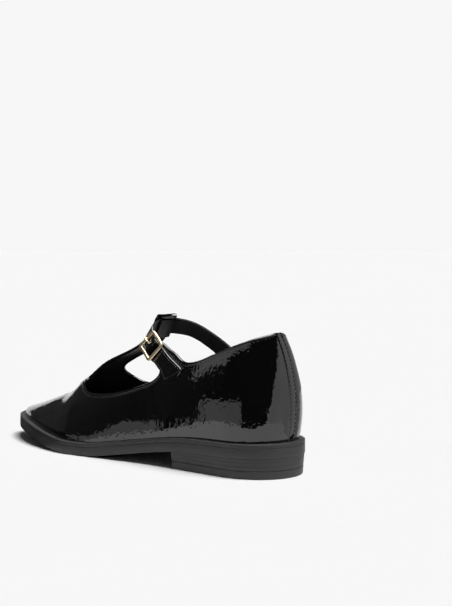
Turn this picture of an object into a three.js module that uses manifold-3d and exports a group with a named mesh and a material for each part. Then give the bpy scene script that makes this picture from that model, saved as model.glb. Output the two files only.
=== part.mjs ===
// A woman's left mary jane shoe in patent leather, EU 38: a pointed flat with a T-bar,
// an ankle strap that runs through the T-bar's loop, a small buckle on the outer side,
// and a welted rubber sole on a low heel.
//
// Millimetres, +Z up. The toe points along -Y and the outer (lateral) side is +X.
// Inside this file a place on the shoe is (u, l, z): u is the distance from the back of
// the sole towards the toe, l the distance from the centre line towards the outer side.
import * as THREE from "three";
import { mergeVertices } from "three/addons/utils/BufferGeometryUtils.js";
import Module from "manifold-3d";

const wasm = await Module();
wasm.setup();

// ---- Driving dimensions ----
const SOLE_LENGTH = 270;
const HEEL_ROUND = 35; // length of the rounded back of the sole
const HEEL_POWER = 2.1; // how square the back of the sole is
const TOE_SWING = -3; // the tip lies this far towards the inner side
const TOE_SWING_START = 90;
const TOE_POWER = { length: 1.62, width: 1.5 };
const EDGE = 9; // thickness of the sole's edge, welt and outsole together
const WELT = 2.8;
const GAP = 0.3; // between pieces that touch
const WALL = 1.8; // upper leather and lining
const INSOLE = { thick: 2.5, ease: 1.7 }; // ease: how far it stays inside the wall
const ROOM_END = 255; // the foot's room; the toe's tip beyond it is stiffened right through
const HEEL = { breast: 77, topPiece: 5.2, inset: { top: 0.4, joint: 1, foot: 1.3 } };
const FOREFOOT_FLAT = { from: 154, to: 168 }; // where the sole lies on the ground
const PINCH = { share: 0.2, length: 34, fade: 2, from: 22, to: 85, grow: 1.3 };
const RIDGE = { from: 34, to: 259, spread: 1.04, corner: 8 }; // where the last's top line starts and ends
const STEM = { outer: 3, inner: -13, middle: 89.5, end: 6.6, cut: 9 }; // the T-bar's edges and its top end
const STRAP = { half: 6.1, taper: 5.8, atBuckle: 5.6, thick: 1.6, atLoop: 2.5 }; // atLoop: depth below the T-bar
const LOOP = { thick: 1.4, set: 0.3, flap: 8, spans: 8 }; // the T-bar's end, folded down behind the strap
// half and side: from the buckle's middle to its outer bars and to its side rails; dip: how
// far the rails and bars sag between the corners; bar: height of the middle bar.
const BUCKLE = {
  half: 6.9, side: 6.8, wire: 0.85, lift: 3.3, dip: 1.1, flat: 3, corner: 1.6, bar: 1.2, barWire: 0.72,
};
const PRONG = { wire: 0.6, root: 1.9, hole: 2.4, bend: 3.8, tip: 1.1, droop: 0.4 };

// Sole edge, half-widths at the stations that set its outline. The ball is where each
// side is widest, and the toe closes from there.
const OUTLINE = {
  outer: { ball: 172, rows: [[0, 30], [35, 30.6], [75, 31], [105, 31.8], [135, 36.5], [172, 42.2]] },
  inner: { ball: 186, rows: [[0, 30], [35, 30.2], [75, 29.6], [105, 29.2], [140, 34.5], [186, 42.8]] },
};

// Height of the outsole's underside at the edge, from the heel seat over the arch to the
// ball, which is flat on the ground, and up the toe spring.
const UNDERSIDE = [
  { u: 0, z: 13.1 }, { u: 35, z: 12.4 }, { u: 75, z: 11 }, { u: 105, z: 6.9 }, { u: 139, z: 1.7 },
  { u: 154, z: 0 }, { u: 168, z: 0 }, { u: 185, z: 1.2 }, { u: 215, z: 4.8 }, { u: 245, z: 7.4 }, { u: 270, z: 7.8 },
];

// The last, by stations along the shoe. ridge and shift place its top line; bulge swells
// the wall past the feather line, low and high shape the wall's run up to the ridge.
const LAST = [
  { u: 0, ridge: 108, shift: 0, bulge: 8.3, low: 0.4, over: 0.2, high: 0.8 },
  { u: 30, ridge: 110, shift: 0, bulge: 6, low: 0.38, over: 0.1, high: 0.9 },
  { u: 60, ridge: 111, shift: -2, bulge: 4, low: 0.36, over: 0.16, high: 0.92 },
  { u: 85, ridge: 110, shift: -4, bulge: 2.5, low: 0.36, over: 0.3, high: 0.94 },
  { u: 105, ridge: 110, shift: -5, bulge: 2, low: 0.36, over: 0.38, high: 0.96 },
  { u: 112, ridge: 106, shift: -5, bulge: 2, low: 0.36, over: 0.35, high: 0.98 },
  { u: 118, ridge: 98.3, shift: -5, bulge: 2, low: 0.38, over: 0.33, high: 1 },
  { u: 122, ridge: 90.7, shift: -5, bulge: 2, low: 0.4, over: 0.31, high: 1 },
  { u: 127, ridge: 83.3, shift: -5, bulge: 2, low: 0.42, over: 0.31, high: 1 },
  { u: 133, ridge: 78, shift: -5, bulge: 2, low: 0.44, over: 0.32, high: 1 },
  { u: 145, ridge: 71.8, shift: -5, bulge: 2, low: 0.48, over: 0.36, high: 1 },
  { u: 160, ridge: 66.1, shift: -4.5, bulge: 2.5, low: 0.5, over: 0.48, high: 1 },
  { u: 176, ridge: 58.2, shift: -4, bulge: 3, low: 0.52, over: 0.57, high: 1 },
  { u: 190, ridge: 46.6, shift: -4, bulge: 3, low: 0.54, over: 0.6, high: 1 },
  { u: 198, ridge: 41.5, shift: -4, bulge: 3, low: 0.56, over: 0.59, high: 1 },
  { u: 208, ridge: 37.6, shift: -4, bulge: 3, low: 0.58, over: 0.57, high: 1 },
  { u: 232, ridge: 29.7, shift: -4.5, bulge: 3, low: 0.6, over: 0.55, high: 1 },
  { u: 250, ridge: 24.2, shift: -5, bulge: 2.5, low: 0.6, over: 0.5, high: 1 },
  { u: 270, ridge: 18.5, shift: -5, bulge: 2, low: 0.6, over: 0.5, high: 1 },
];

// How far the feather line lies inside the sole's edge.
const WELT_SHOWS = [
  { u: 0, by: 3.6 }, { u: 60, by: 3.2 }, { u: 130, by: 3.2 }, { u: 200, by: 3.6 }, { u: 270, by: 4.6 },
];

// ---- Curves ----
// A natural cubic spline through rows of (x, y).
function splineThrough(xs, ys) {
  const n = xs.length;
  const bend = new Array(n).fill(0);
  const work = new Array(n).fill(0);
  for (let i = 1; i < n - 1; i++) {
    const share = (xs[i] - xs[i - 1]) / (xs[i + 1] - xs[i - 1]);
    const p = share * bend[i - 1] + 2;
    bend[i] = (share - 1) / p;
    const turn = (ys[i + 1] - ys[i]) / (xs[i + 1] - xs[i]) - (ys[i] - ys[i - 1]) / (xs[i] - xs[i - 1]);
    work[i] = ((6 * turn) / (xs[i + 1] - xs[i - 1]) - share * work[i - 1]) / p;
  }
  for (let i = n - 2; i >= 0; i--) bend[i] = bend[i] * bend[i + 1] + work[i];
  return (x) => {
    const clamped = Math.min(Math.max(x, xs[0]), xs[n - 1]);
    let i = 0;
    while (i < n - 2 && clamped > xs[i + 1]) i++;
    const h = xs[i + 1] - xs[i];
    const b = (clamped - xs[i]) / h;
    const a = 1 - b;
    return a * ys[i] + b * ys[i + 1] + (((a ** 3 - a) * bend[i] + (b ** 3 - b) * bend[i + 1]) * h * h) / 6;
  };
}

const column = (rows, key) => splineThrough(rows.map((r) => r.u), rows.map((r) => r[key]));
const undersideSpline = column(UNDERSIDE, "z");
const underside = (u) => (u > FOREFOOT_FLAT.from && u < FOREFOOT_FLAT.to ? 0 : Math.max(0, undersideSpline(u)));
const weltShows = column(WELT_SHOWS, "by");
const last = Object.fromEntries(
  ["ridge", "shift", "bulge", "low", "over", "high"].map((key) => [key, column(LAST, key)]),
);
const widths = Object.fromEntries(
  Object.entries(OUTLINE).map(([side, o]) => [side, splineThrough(o.rows.map((r) => r[0]), o.rows.map((r) => r[1]))]),
);

// ---- The sole's edge ----
// a runs from 0 at the back of the heel to 1 at the tip of the toe, closer together at both.
const alongAt = (a) => (SOLE_LENGTH * (1 - Math.cos(Math.PI * a))) / 2;

function edgePoint(a, side) {
  const u = alongAt(a);
  const { ball } = OUTLINE[side];
  let half = widths[side](Math.min(u, ball));
  if (u < HEEL_ROUND) half *= (1 - (1 - u / HEEL_ROUND) ** HEEL_POWER) ** (1 / HEEL_POWER);
  if (u > ball) {
    const x = Math.min(1, (u - ball) / (SOLE_LENGTH - ball));
    half *= (1 - x ** TOE_POWER.length) ** (1 / TOE_POWER.width);
  }
  const swing = Math.max(0, (u - TOE_SWING_START) / (SOLE_LENGTH - TOE_SWING_START));
  return new THREE.Vector2(u, (side === "outer" ? half : -half) + TOE_SWING * swing ** 2);
}

// The edge moved inwards, square to itself.
function insetPoint(a, side, by) {
  const step = 1e-3;
  const here = edgePoint(a, side);
  const other = side === "outer" ? "inner" : "outer";
  const before = a - step < 0 ? edgePoint(step - a, other) : edgePoint(a - step, side);
  const after = a + step > 1 ? edgePoint(2 - a - step, other) : edgePoint(a + step, side);
  const along = after.sub(before).normalize();
  const inwards = side === "outer" ? new THREE.Vector2(along.y, -along.x) : new THREE.Vector2(-along.y, along.x);
  return here.add(inwards.multiplyScalar(by));
}

// ---- The last's surface ----
const ridgeAlong = (u) => {
  const mid = (RIDGE.from + RIDGE.to) / 2;
  const half = (RIDGE.to - RIDGE.from) / 2;
  const x = (u - mid) / half;
  return mid + (half * RIDGE.spread * x) / (1 + Math.abs(x) ** RIDGE.corner) ** (1 / RIDGE.corner);
};
const seatTop = (u) => underside(u) + EDGE;
// The two quarters draw together towards the top of the back seam.
const pinch = (u, z) => {
  const height = THREE.MathUtils.clamp((z - PINCH.from) / (PINCH.to - PINCH.from), 0, 1);
  return PINCH.share * Math.exp(-((Math.max(0, u) / PINCH.length) ** PINCH.fade)) * height ** PINCH.grow;
};

// s runs from 0 at the feather line up to 1 on the ridge.
function lastPoint(a, s, side) {
  const foot = insetPoint(a, side, weltShows(alongAt(a)));
  const u = alongAt(a);
  const ground = seatTop(u) + GAP;
  const topU = ridgeAlong(u);
  const top = new THREE.Vector3(topU, last.shift(topU), last.ridge(topU));
  const out = new THREE.Vector2(foot.x - top.x, foot.y - top.y);
  const reach = out.length();
  out.normalize();
  const rise = top.z - ground;
  const at = (inwards, up) =>
    new THREE.Vector3(foot.x - out.x * inwards, foot.y - out.y * inwards, ground + up);
  const p = new THREE.CubicBezierCurve3(
    at(0, 0),
    at(-last.bulge(u), last.low(u) * rise),
    at(last.over(u) * reach, last.high(u) * rise),
    top,
  ).getPoint(s);
  p.y *= 1 - pinch(p.x, p.z);
  return p;
}

const otherSide = (side) => (side === "outer" ? "inner" : "outer");
// Past either end, or past the ridge, the surface carries on down the other side.
function surface(a, s, side) {
  if (a < 0) return surface(-a, s, otherSide(side));
  if (a > 1) return surface(2 - a, s, otherSide(side));
  if (s > 1) return surface(a, 2 - s, otherSide(side));
  return lastPoint(a, Math.max(0, s), side);
}

function outwardAt(a, s, side) {
  const step = 2e-3;
  const along = surface(a + step, s, side).sub(surface(a - step, s, side));
  const up = surface(a, s + step, side).sub(surface(a, s - step, side));
  const normal = side === "outer" ? up.cross(along) : along.cross(up);
  return normal.length() < 1e-9 ? new THREE.Vector3(0, 0, 1) : normal.normalize();
}

const offLast = (a, s, side, lift) => surface(a, s, side).addScaledVector(outwardAt(a, s, side), lift);

// Where the surface has a given height and a given place along the shoe (x) or across it (y),
// by eased Newton steps from the side of the quarter or from the instep.
const SOLVE = { rounds: 40, ease: 0.7, step: 1e-4, instep: 125, onSide: 0.5, onInstep: 0.85 };
function onLast(side, axis, value, z) {
  let a = Math.acos(1 - (2 * (axis === "x" ? value : SOLVE.instep)) / SOLE_LENGTH) / Math.PI;
  let s = axis === "x" ? SOLVE.onSide : SOLVE.onInstep;
  for (let i = 0; i < SOLVE.rounds; i++) {
    const p = surface(a, s, side);
    const da = surface(a + SOLVE.step, s, side).sub(p).divideScalar(SOLVE.step);
    const ds = surface(a, s + SOLVE.step, side).sub(p).divideScalar(SOLVE.step);
    const [e, f] = [value - p[axis], z - p.z];
    const det = da[axis] * ds.z - ds[axis] * da.z;
    a += (SOLVE.ease * (e * ds.z - f * ds[axis])) / det;
    s += (SOLVE.ease * (f * da[axis] - e * da.z)) / det;
  }
  return { a, s, side };
}

// ---- Meshes ----
// The sole's outline, centred, sets the part's frame.
const FRAME = (() => {
  const stations = Array.from({ length: 401 }, (_, i) => i / 400);
  const outer = Math.max(...stations.map((a) => edgePoint(a, "outer").y));
  const inner = Math.min(...stations.map((a) => edgePoint(a, "inner").y));
  return { x: -(outer + inner) / 2, y: SOLE_LENGTH / 2 };
})();
const place = (p) => new THREE.Vector3(p.y + FRAME.x, FRAME.y - p.x, p.z);

// A solid from triangles of points in (u, l, z); corners that meet are joined.
function solidFrom(triangles) {
  const flat = new Float32Array(triangles.flatMap((t) => t.flatMap((p) => place(p).toArray())));
  const loose = new THREE.BufferGeometry().setAttribute("position", new THREE.BufferAttribute(flat, 3));
  const merged = mergeVertices(loose, 1e-3);
  const index = merged.index.array;
  const kept = [];
  for (let i = 0; i < index.length; i += 3) {
    const [p, q, r] = [index[i], index[i + 1], index[i + 2]];
    if (p !== q && q !== r && r !== p) kept.push(p, q, r);
  }
  merged.setIndex(kept);
  return merged;
}

const quad = (a, b, c, d) => [[a, b, c], [a, c, d]];

// Rings of the same even number of points, joined in order. Seen from the last ring they run
// anticlockwise. Each end is closed in strips from side to side, so a ring may bend round.
function loft(rings) {
  const triangles = [];
  const count = rings[0].length;
  for (let i = 0; i < rings.length - 1; i++)
    for (let j = 0; j < count; j++) {
      const k = (j + 1) % count;
      triangles.push(...quad(rings[i][j], rings[i][k], rings[i + 1][k], rings[i + 1][j]));
    }
  const [start, end] = [rings[0], rings[rings.length - 1]];
  for (let j = 0; j < count / 2 - 1; j++) {
    const [low, high] = [count - 2 - j, count - 1 - j];
    triangles.push(...quad(start[high], start[low], start[j + 1], start[j]));
    triangles.push(...quad(end[j], end[j + 1], end[low], end[high]));
  }
  return solidFrom(triangles);
}

// A prism over a polygon; at(p, q, h) turns its two axes and its height into a place.
function prism(polygon, low, high, at) {
  const outline = polygon.map(([p, q]) => new THREE.Vector2(p, q));
  if (THREE.ShapeUtils.isClockWise(outline)) outline.reverse();
  const triangles = [];
  const corner = (p, h) => at(p.x, p.y, h);
  for (const [i, j, k] of THREE.ShapeUtils.triangulateShape(outline, [])) {
    const face = [outline[i], outline[j], outline[k]];
    triangles.push(face.map((p) => corner(p, high)), [...face].reverse().map((p) => corner(p, low)));
  }
  outline.forEach((p, i) => {
    const next = outline[(i + 1) % outline.length];
    triangles.push(...quad(corner(p, low), corner(next, low), corner(next, high), corner(p, high)));
  });
  return solidFrom(triangles);
}
const inPlan = (u, l, h) => new THREE.Vector3(u, l, h);
const inProfile = (u, z, h) => new THREE.Vector3(u, -h, z);

function toManifold(geometry) {
  return new wasm.Manifold(
    new wasm.Mesh({
      numProp: 3,
      vertProperties: new Float32Array(geometry.attributes.position.array),
      triVerts: new Uint32Array(geometry.index.array),
    }),
  );
}

function fromManifold(manifold) {
  const { vertProperties, triVerts } = manifold.getMesh();
  const geometry = new THREE.BufferGeometry();
  geometry.setAttribute("position", new THREE.BufferAttribute(new Float32Array(vertProperties), 3));
  geometry.setIndex(new THREE.BufferAttribute(new Uint32Array(triVerts), 1));
  return geometry;
}

// ---- Materials ----
const finish = (color, roughness, metalness = 0) =>
  new THREE.MeshStandardMaterial({ color, roughness, metalness });
const rubber = finish(0x1d1d1e, 0.55);
const patent = finish(0x060607, 0.1);
const lining = finish(0x1a1918, 0.8);
const gilt = finish(0xc9a878, 0.25, 1);

const group = new THREE.Group();
function add(name, geometry, material) {
  geometry.computeVertexNormals();
  const mesh = new THREE.Mesh(geometry, material);
  mesh.name = name;
  group.add(mesh);
}

// ---- The sole ----
// A slice of the sole between two heights, each a function of u, drawn in from the edge.
const STATIONS = 64;
function soleSlice({ low, high, lowInset, highInset = lowInset, until = SOLE_LENGTH }) {
  const to = Math.acos(1 - (2 * until) / SOLE_LENGTH) / Math.PI;
  const count = Math.ceil(STATIONS * to);
  const rings = [];
  for (let i = 0; i <= count; i++) {
    const a = (to * i) / count;
    const u = alongAt(a);
    const at = (side, inset, height) => {
      const p = insetPoint(a, side, inset(u));
      return new THREE.Vector3(until < SOLE_LENGTH ? Math.min(p.x, until) : p.x, p.y, height(u));
    };
    rings.push([
      at("outer", lowInset, low),
      at("outer", highInset, high),
      at("inner", highInset, high),
      at("inner", lowInset, low),
    ]);
  }
  return loft(rings);
}
const fixed = (value) => () => value;

add(
  "outsole",
  soleSlice({ low: underside, high: (u) => underside(u) + EDGE - WELT - GAP, lowInset: fixed(0) }),
  rubber,
);
add(
  "welt",
  soleSlice({ low: (u) => underside(u) + EDGE - WELT, high: seatTop, lowInset: fixed(0) }),
  rubber,
);
add(
  "heel_block",
  soleSlice({
    low: fixed(HEEL.topPiece + GAP),
    high: (u) => underside(u) - GAP,
    lowInset: fixed(HEEL.inset.joint),
    highInset: fixed(HEEL.inset.top),
    until: HEEL.breast,
  }),
  rubber,
);
add(
  "heel_top_piece",
  soleSlice({
    low: fixed(0),
    high: fixed(HEEL.topPiece),
    lowInset: fixed(HEEL.inset.foot),
    highInset: fixed(HEEL.inset.joint),
    until: HEEL.breast,
  }),
  rubber,
);
add(
  "insole",
  soleSlice({
    low: (u) => seatTop(u) + GAP,
    high: (u) => seatTop(u) + GAP + INSOLE.thick,
    lowInset: (u) => weltShows(u) + WALL + INSOLE.ease,
    until: ROOM_END - GAP,
  }),
  lining,
);

// ---- The upper ----
// The whole last, its surface moved by lift, standing on the sole or running down through it.
const ALONG = 50;
const AROUND = 12;
const THROUGH_FLOOR = 8;
const PAST_HEEL = -20;
const ABOVE = 150;
const BESIDE = 60;
function lastSolid(lift, below) {
  const triangles = [];
  const feet = [];
  for (const side of ["outer", "inner"]) {
    const grid = [];
    for (let i = 0; i <= ALONG; i++) {
      const column = [];
      for (let j = 0; j <= AROUND; j++) column.push(offLast(i / ALONG, j / AROUND, side, lift));
      const foot = column[0].clone();
      foot.z = seatTop(foot.x) + GAP;
      column[0] = foot.clone();
      foot.z -= below;
      if (below > 0) column.unshift(foot);
      grid.push(column);
    }
    for (let i = 0; i < ALONG; i++)
      for (let j = 0; j < grid[0].length - 1; j++) {
        const face = [grid[i][j], grid[i][j + 1], grid[i + 1][j + 1], grid[i + 1][j]];
        if (side === "inner") face.reverse();
        triangles.push(...quad(...face));
      }
    grid.forEach((column, i) => (side === "outer" ? feet.push([column[0]]) : feet[i].push(column[0])));
  }
  for (let i = 0; i < ALONG; i++)
    triangles.push(...quad(feet[i][0], feet[i + 1][0], feet[i + 1][1], feet[i][1]));
  return toManifold(solidFrom(triangles));
}

// The collar and the front of each opening, seen from the side.
const TOPLINE = {
  outer: [
    { u: PAST_HEEL, z: 88.4 }, { u: 11.5, z: 88.4 }, { u: 14.2, z: 87.6 }, { u: 19.5, z: 85.6 }, { u: 30.5, z: 80.9 },
    { u: 44, z: 75.4 }, { u: 56, z: 70.5 }, { u: 64, z: 68.5 }, { u: 70, z: 68.1 }, { u: 75.4, z: 69.7 },
    { u: 81, z: 72.8 }, { u: 87.4, z: 75 }, { u: 93.6, z: 77.7 }, { u: 99, z: 80.2, corner: true },
    { u: 107.6, z: 70, corner: true }, { u: 103.6, z: 67.4 }, { u: 98.4, z: 65.5 }, { u: 94.8, z: 63.3 },
    { u: 93.5, z: 60.2 }, { u: 96.3, z: 56.4 }, { u: 102, z: 52.9 }, { u: 110, z: 50.1 }, { u: 118.5, z: 47.3 },
    { u: 127, z: 45.1 }, { u: 137, z: 43.2 }, { u: 147, z: 42.2 }, { u: 155, z: 42.1 }, { u: 162, z: 42.9 },
    { u: 167, z: 44.6 }, { u: 196, z: 46 },
  ],
  inner: [
    { u: PAST_HEEL, z: 88.4 }, { u: 11.5, z: 88.4 }, { u: 14.2, z: 87.6 }, { u: 19.5, z: 85.6 }, { u: 30.5, z: 80.9 },
    { u: 44, z: 75.4 }, { u: 56, z: 70.8 }, { u: 65, z: 68.7 }, { u: 73, z: 68.3 }, { u: 80, z: 68 },
    { u: 85.5, z: 65.4 }, { u: 90, z: 61.4 }, { u: 96, z: 57.2 }, { u: 104, z: 53.2 }, { u: 115, z: 49.5 },
    { u: 128, z: 46.3 }, { u: 142, z: 44.7 }, { u: 156, z: 44.5 }, { u: 163.5, z: 45.1 }, { u: 168, z: 46.4 },
    { u: 172, z: 48.6 }, { u: 186, z: 52 },
  ],
};

const COLLAR_ROWS = 5; // rows of the topline that round the back of the heel

// The T-bar's edges and the rounded front of each opening, seen from above.
const THROAT = {
  outer: [
    { u: PAST_HEEL, l: STEM.outer }, { u: 100, l: STEM.outer }, { u: 150, l: STEM.outer },
    { u: 165, l: 3.2 }, { u: 174, l: 4.1 }, { u: 180, l: 6 }, { u: 183, l: 8.8 }, { u: 182.6, l: 12 },
    { u: 179.4, l: 16 }, { u: 174, l: 20.8 }, { u: 166.4, l: 26.2 }, { u: 157, l: 34 }, { u: 148, l: 46 },
  ],
  inner: [
    { u: PAST_HEEL, l: STEM.inner }, { u: 100, l: STEM.inner }, { u: 148, l: -13.3 },
    { u: 160, l: -13.9 }, { u: 168.6, l: -14.7 }, { u: 172.4, l: -16.4 }, { u: 173.7, l: -19.2 },
    { u: 172.8, l: -22.3 }, { u: 170.8, l: -25.3 }, { u: 167.4, l: -28.4 }, { u: 160, l: -35 }, { u: 150, l: -46 },
  ],
};

// A smooth line through the rows, broken at the corners.
function smooth(rows, key, perSpan = 2) {
  const line = [];
  let run = [];
  const flush = () => {
    if (run.length > 1) line.push(...new THREE.SplineCurve(run).getPoints((run.length - 1) * perSpan));
    run = run.slice(-1);
  };
  for (const row of rows) {
    run.push(new THREE.Vector2(row.u, row[key]));
    if (row.corner) flush();
  }
  flush();
  return line.filter((p, i) => i === 0 || p.distanceTo(line[i - 1]) > 1e-6).map((p) => [p.x, p.y]);
}

function opening(side) {
  const profile = [...smooth(TOPLINE[side], "z"), [TOPLINE[side].at(-1).u, ABOVE], [PAST_HEEL, ABOVE]];
  const edge = side === "outer" ? BESIDE : -BESIDE;
  const plan = [...smooth(THROAT[side], "l"), [THROAT[side].at(-1).u, edge], [PAST_HEEL, edge]];
  const fromSide = toManifold(prism(profile, -BESIDE, BESIDE, inProfile));
  return fromSide.intersect(toManifold(prism(plan, 0, ABOVE, inPlan)));
}

// Across the T-bar near its top: out from its face, and up along it.
function stemFrame(l) {
  const { a, s, side } = onLast(l > last.shift(114) ? "outer" : "inner", "y", l, STEM.middle);
  const out = outwardAt(a, s, side);
  const up = out.clone().cross(new THREE.Vector3(0, 1, 0)).normalize();
  const origin = surface(a, s, side);
  return {
    out,
    up,
    at: (lift, height) => origin.clone().addScaledVector(out, lift).addScaledVector(up, height),
  };
}

// Everything above the collar between the two openings, back from the end of the T-bar.
function overCollar() {
  const { at } = stemFrame((STEM.outer + STEM.inner) / 2);
  const [inside, outside] = [at(-STEM.cut, STEM.end), at(STEM.cut, STEM.end)];
  const collar = smooth(TOPLINE.outer.slice(0, COLLAR_ROWS), "z");
  const [, lowest] = collar.at(-1);
  const profile = [
    ...collar, [inside.x, lowest], [inside.x, inside.z],
    [outside.x, outside.z], [outside.x, ABOVE], [PAST_HEEL, ABOVE],
  ];
  const overlap = 0.5;
  return toManifold(prism(profile, -STEM.outer - overlap, -STEM.inner + overlap, inProfile));
}

// The cuts leave slivers, which are closed up.
const SLIVER = 0.02;
const room = lastSolid(-WALL, THROUGH_FLOOR).trimByPlane([0, 1, 0], FRAME.y - ROOM_END);
const upper = lastSolid(0, 0)
  .subtract(room)
  .subtract(opening("outer"))
  .subtract(opening("inner"))
  .subtract(overCollar())
  .simplify(SLIVER);
add("upper", fromManifold(upper), patent);

// ---- The T-bar's loop ----
const BEHIND = STRAP.atLoop + STRAP.thick + GAP + LOOP.thick; // depth of the flap's inner face
function loopRing(l) {
  const { at } = stemFrame(l);
  const foot = STEM.end + GAP;
  const middle = -(LOOP.set + BEHIND) / 2;
  const outerRadius = (BEHIND - LOOP.set) / 2;
  const arc = (radius, from, to) =>
    Array.from({ length: LOOP.spans + 1 }, (_, i) => {
      const turn = from + ((to - from) * i) / LOOP.spans;
      return at(middle + radius * Math.cos(turn), foot + radius * Math.sin(turn));
    });
  return [
    ...arc(outerRadius, 0, Math.PI),
    at(-BEHIND, -LOOP.flap),
    at(-BEHIND + LOOP.thick, -LOOP.flap),
    ...arc(outerRadius - LOOP.thick, Math.PI, 0),
  ];
}
{
  const rings = [];
  for (let i = 0; i <= LOOP.spans; i++)
    rings.push(loopRing(STEM.outer + ((STEM.inner - STEM.outer) * i) / LOOP.spans));
  add("t_bar_loop", loft(rings), patent);
}

// ---- The ankle strap ----
// Its path from where it is sewn to the inner quarter, through the loop and the buckle, to
// its end on the outer quarter. Upper and lower edge as seen from the side; lift is the
// height of its inner face over the last, which is the quarter's own outer face.
const ON_QUARTER = 0.3;
const OVER_BAR = BUCKLE.bar + BUCKLE.barWire + GAP;
const STRAP_PATH = [
  { side: "inner", upperU: 63.5, upperZ: 65.3, lowerU: 72.3, lowerZ: 56.6, lift: ON_QUARTER },
  { side: "inner", upperU: 70, upperZ: 70.6, lowerU: 78.4, lowerZ: 62, lift: ON_QUARTER },
  { side: "inner", upperU: 76.2, upperZ: 75.6, lowerU: 84, lowerZ: 66.6, lift: ON_QUARTER },
  { side: "inner", upperU: 82, upperZ: 80.1, lowerU: 90, lowerZ: 70.8, lift: 0.1 },
  { side: "inner", upperU: 89.2, upperZ: 84.9, lowerU: 96.6, lowerZ: 75.4, lift: -0.6 },
  { side: "inner", upperU: 96.6, upperZ: 89.2, lowerU: 103, lowerZ: 79.2, lift: -1.6 },
  { side: "inner", upperU: 104.2, upperZ: 92.6, lowerU: 109.5, lowerZ: 81.6, lift: -3 },
  { l: -13 }, { l: -9 }, { l: -5 }, { l: -1 }, { l: 3 },
  { side: "outer", upperU: 112.6, upperZ: 91.2, lowerU: 117.2, lowerZ: 80.4, lift: -2.9, half: STRAP.taper },
  { side: "outer", upperU: 106.6, upperZ: 85.6, lowerU: 111, lowerZ: 75.2, lift: ON_QUARTER, half: STRAP.atBuckle },
  { side: "outer", upperU: 100.4, upperZ: 80.8, lowerU: 105.8, lowerZ: 70.6, lift: OVER_BAR, half: STRAP.atBuckle },
  { side: "outer", upperU: 94.4, upperZ: 76.6, lowerU: 100.6, lowerZ: 66.6, lift: ON_QUARTER, half: STRAP.atBuckle },
  { side: "outer", upperU: 89.6, upperZ: 73.7, lowerU: 97, lowerZ: 63.9, lift: ON_QUARTER, half: STRAP.taper },
  { side: "outer", upperU: 84, upperZ: 70.4, lowerU: 92.6, lowerZ: 61, lift: ON_QUARTER },
  { side: "outer", upperU: 76.6, upperZ: 66.6, lowerU: 88.6, lowerZ: 57.2, lift: ON_QUARTER, asDrawn: true },
  { side: "outer", upperU: 71.4, upperZ: 63.4, lowerU: 87, lowerZ: 55.3, lift: ON_QUARTER, asDrawn: true },
  { side: "outer", upperU: 73.6, upperZ: 59.2, lowerU: 86.4, lowerZ: 54.9, lift: ON_QUARTER, asDrawn: true },
];

function strapRow(row) {
  if (row.l !== undefined) {
    const { at, out } = stemFrame(row.l);
    const depth = -(STRAP.atLoop + STRAP.thick);
    return { upper: at(depth, STRAP.half), lower: at(depth, -STRAP.half), out };
  }
  const [top, foot] = [["upperU", "upperZ"], ["lowerU", "lowerZ"]].map(([u, z]) => {
    const { a, s, side } = onLast(row.side, "x", row[u], row[z]);
    return { p: offLast(a, s, side, row.lift), out: outwardAt(a, s, side) };
  });
  const middle = top.p.clone().add(foot.p).divideScalar(2);
  const across = top.p.clone().sub(foot.p).normalize();
  if (row.asDrawn) return { upper: top.p, lower: foot.p, out: top.out.add(foot.out).normalize() };
  const half = row.half ?? STRAP.half;
  return {
    upper: middle.clone().addScaledVector(across, half),
    lower: middle.clone().addScaledVector(across, -half),
    out: top.out.add(foot.out).normalize(),
  };
}

const strapRows = STRAP_PATH.map(strapRow);
const strapCurves = ["upper", "lower", "out"].map(
  (key) => new THREE.CatmullRomCurve3(strapRows.map((row) => row[key]), false, "centripetal"),
);
const SPANS = strapRows.length - 1;
const RINGS_PER_ROW = 3;
const WIRE_SIDES = 5;
// The strap's frame at row t, counting rows from 0.
function strapAt(t) {
  const [upperEdge, lowerEdge, outward] = strapCurves.map((curve) => curve.getPoint(t / SPANS));
  const across = upperEdge.clone().sub(lowerEdge).normalize();
  const out = outward.clone().addScaledVector(across, -outward.dot(across)).normalize();
  return { upper: upperEdge, lower: lowerEdge, across, out };
}

function strapRing(t) {
  const { upper: top, lower: foot, out } = strapAt(t);
  const outside = [top, foot].map((p) => p.clone().addScaledVector(out, STRAP.thick));
  return [top, ...outside, foot];
}

// The buckle's middle lies over the row where the strap rides over its bar.
const BUCKLE_ROW = STRAP_PATH.findIndex((row) => row.lift === OVER_BAR);
const buckle = (() => {
  const before = strapAt(BUCKLE_ROW - 1);
  const after = strapAt(BUCKLE_ROW + 1);
  const centreOf = (f) => f.upper.clone().add(f.lower).divideScalar(2).addScaledVector(f.out, -ON_QUARTER);
  const [loopEnd, tabEnd] = [before, after].map(centreOf);
  const here = strapAt(BUCKLE_ROW);
  const along = loopEnd.clone().sub(tabEnd).normalize();
  const across = here.across.clone().addScaledVector(along, -here.across.dot(along)).normalize();
  const out = along.clone().cross(across);
  if (out.dot(here.out) < 0) out.negate();
  const centre = loopEnd.clone().add(tabEnd).divideScalar(2);
  return {
    at: (p, q, lift) =>
      centre.clone().addScaledVector(along, p).addScaledVector(across, q).addScaledVector(out, lift),
  };
})();

// A round wire along a smooth line through the points.
function sweep(points, radius, { closed = false, segments = 16 } = {}) {
  const circle = new THREE.Shape();
  circle.absarc(0, 0, radius, 0, 2 * Math.PI, false);
  const swept = new THREE.ExtrudeGeometry(circle, {
    steps: segments,
    extrudePath: new THREE.CatmullRomCurve3(points.map(place), closed, "centripetal"),
    curveSegments: WIRE_SIDES,
    bevelEnabled: false,
  });
  swept.deleteAttribute("normal");
  swept.deleteAttribute("uv");
  return toManifold(mergeVertices(swept, 1e-3));
}

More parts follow.
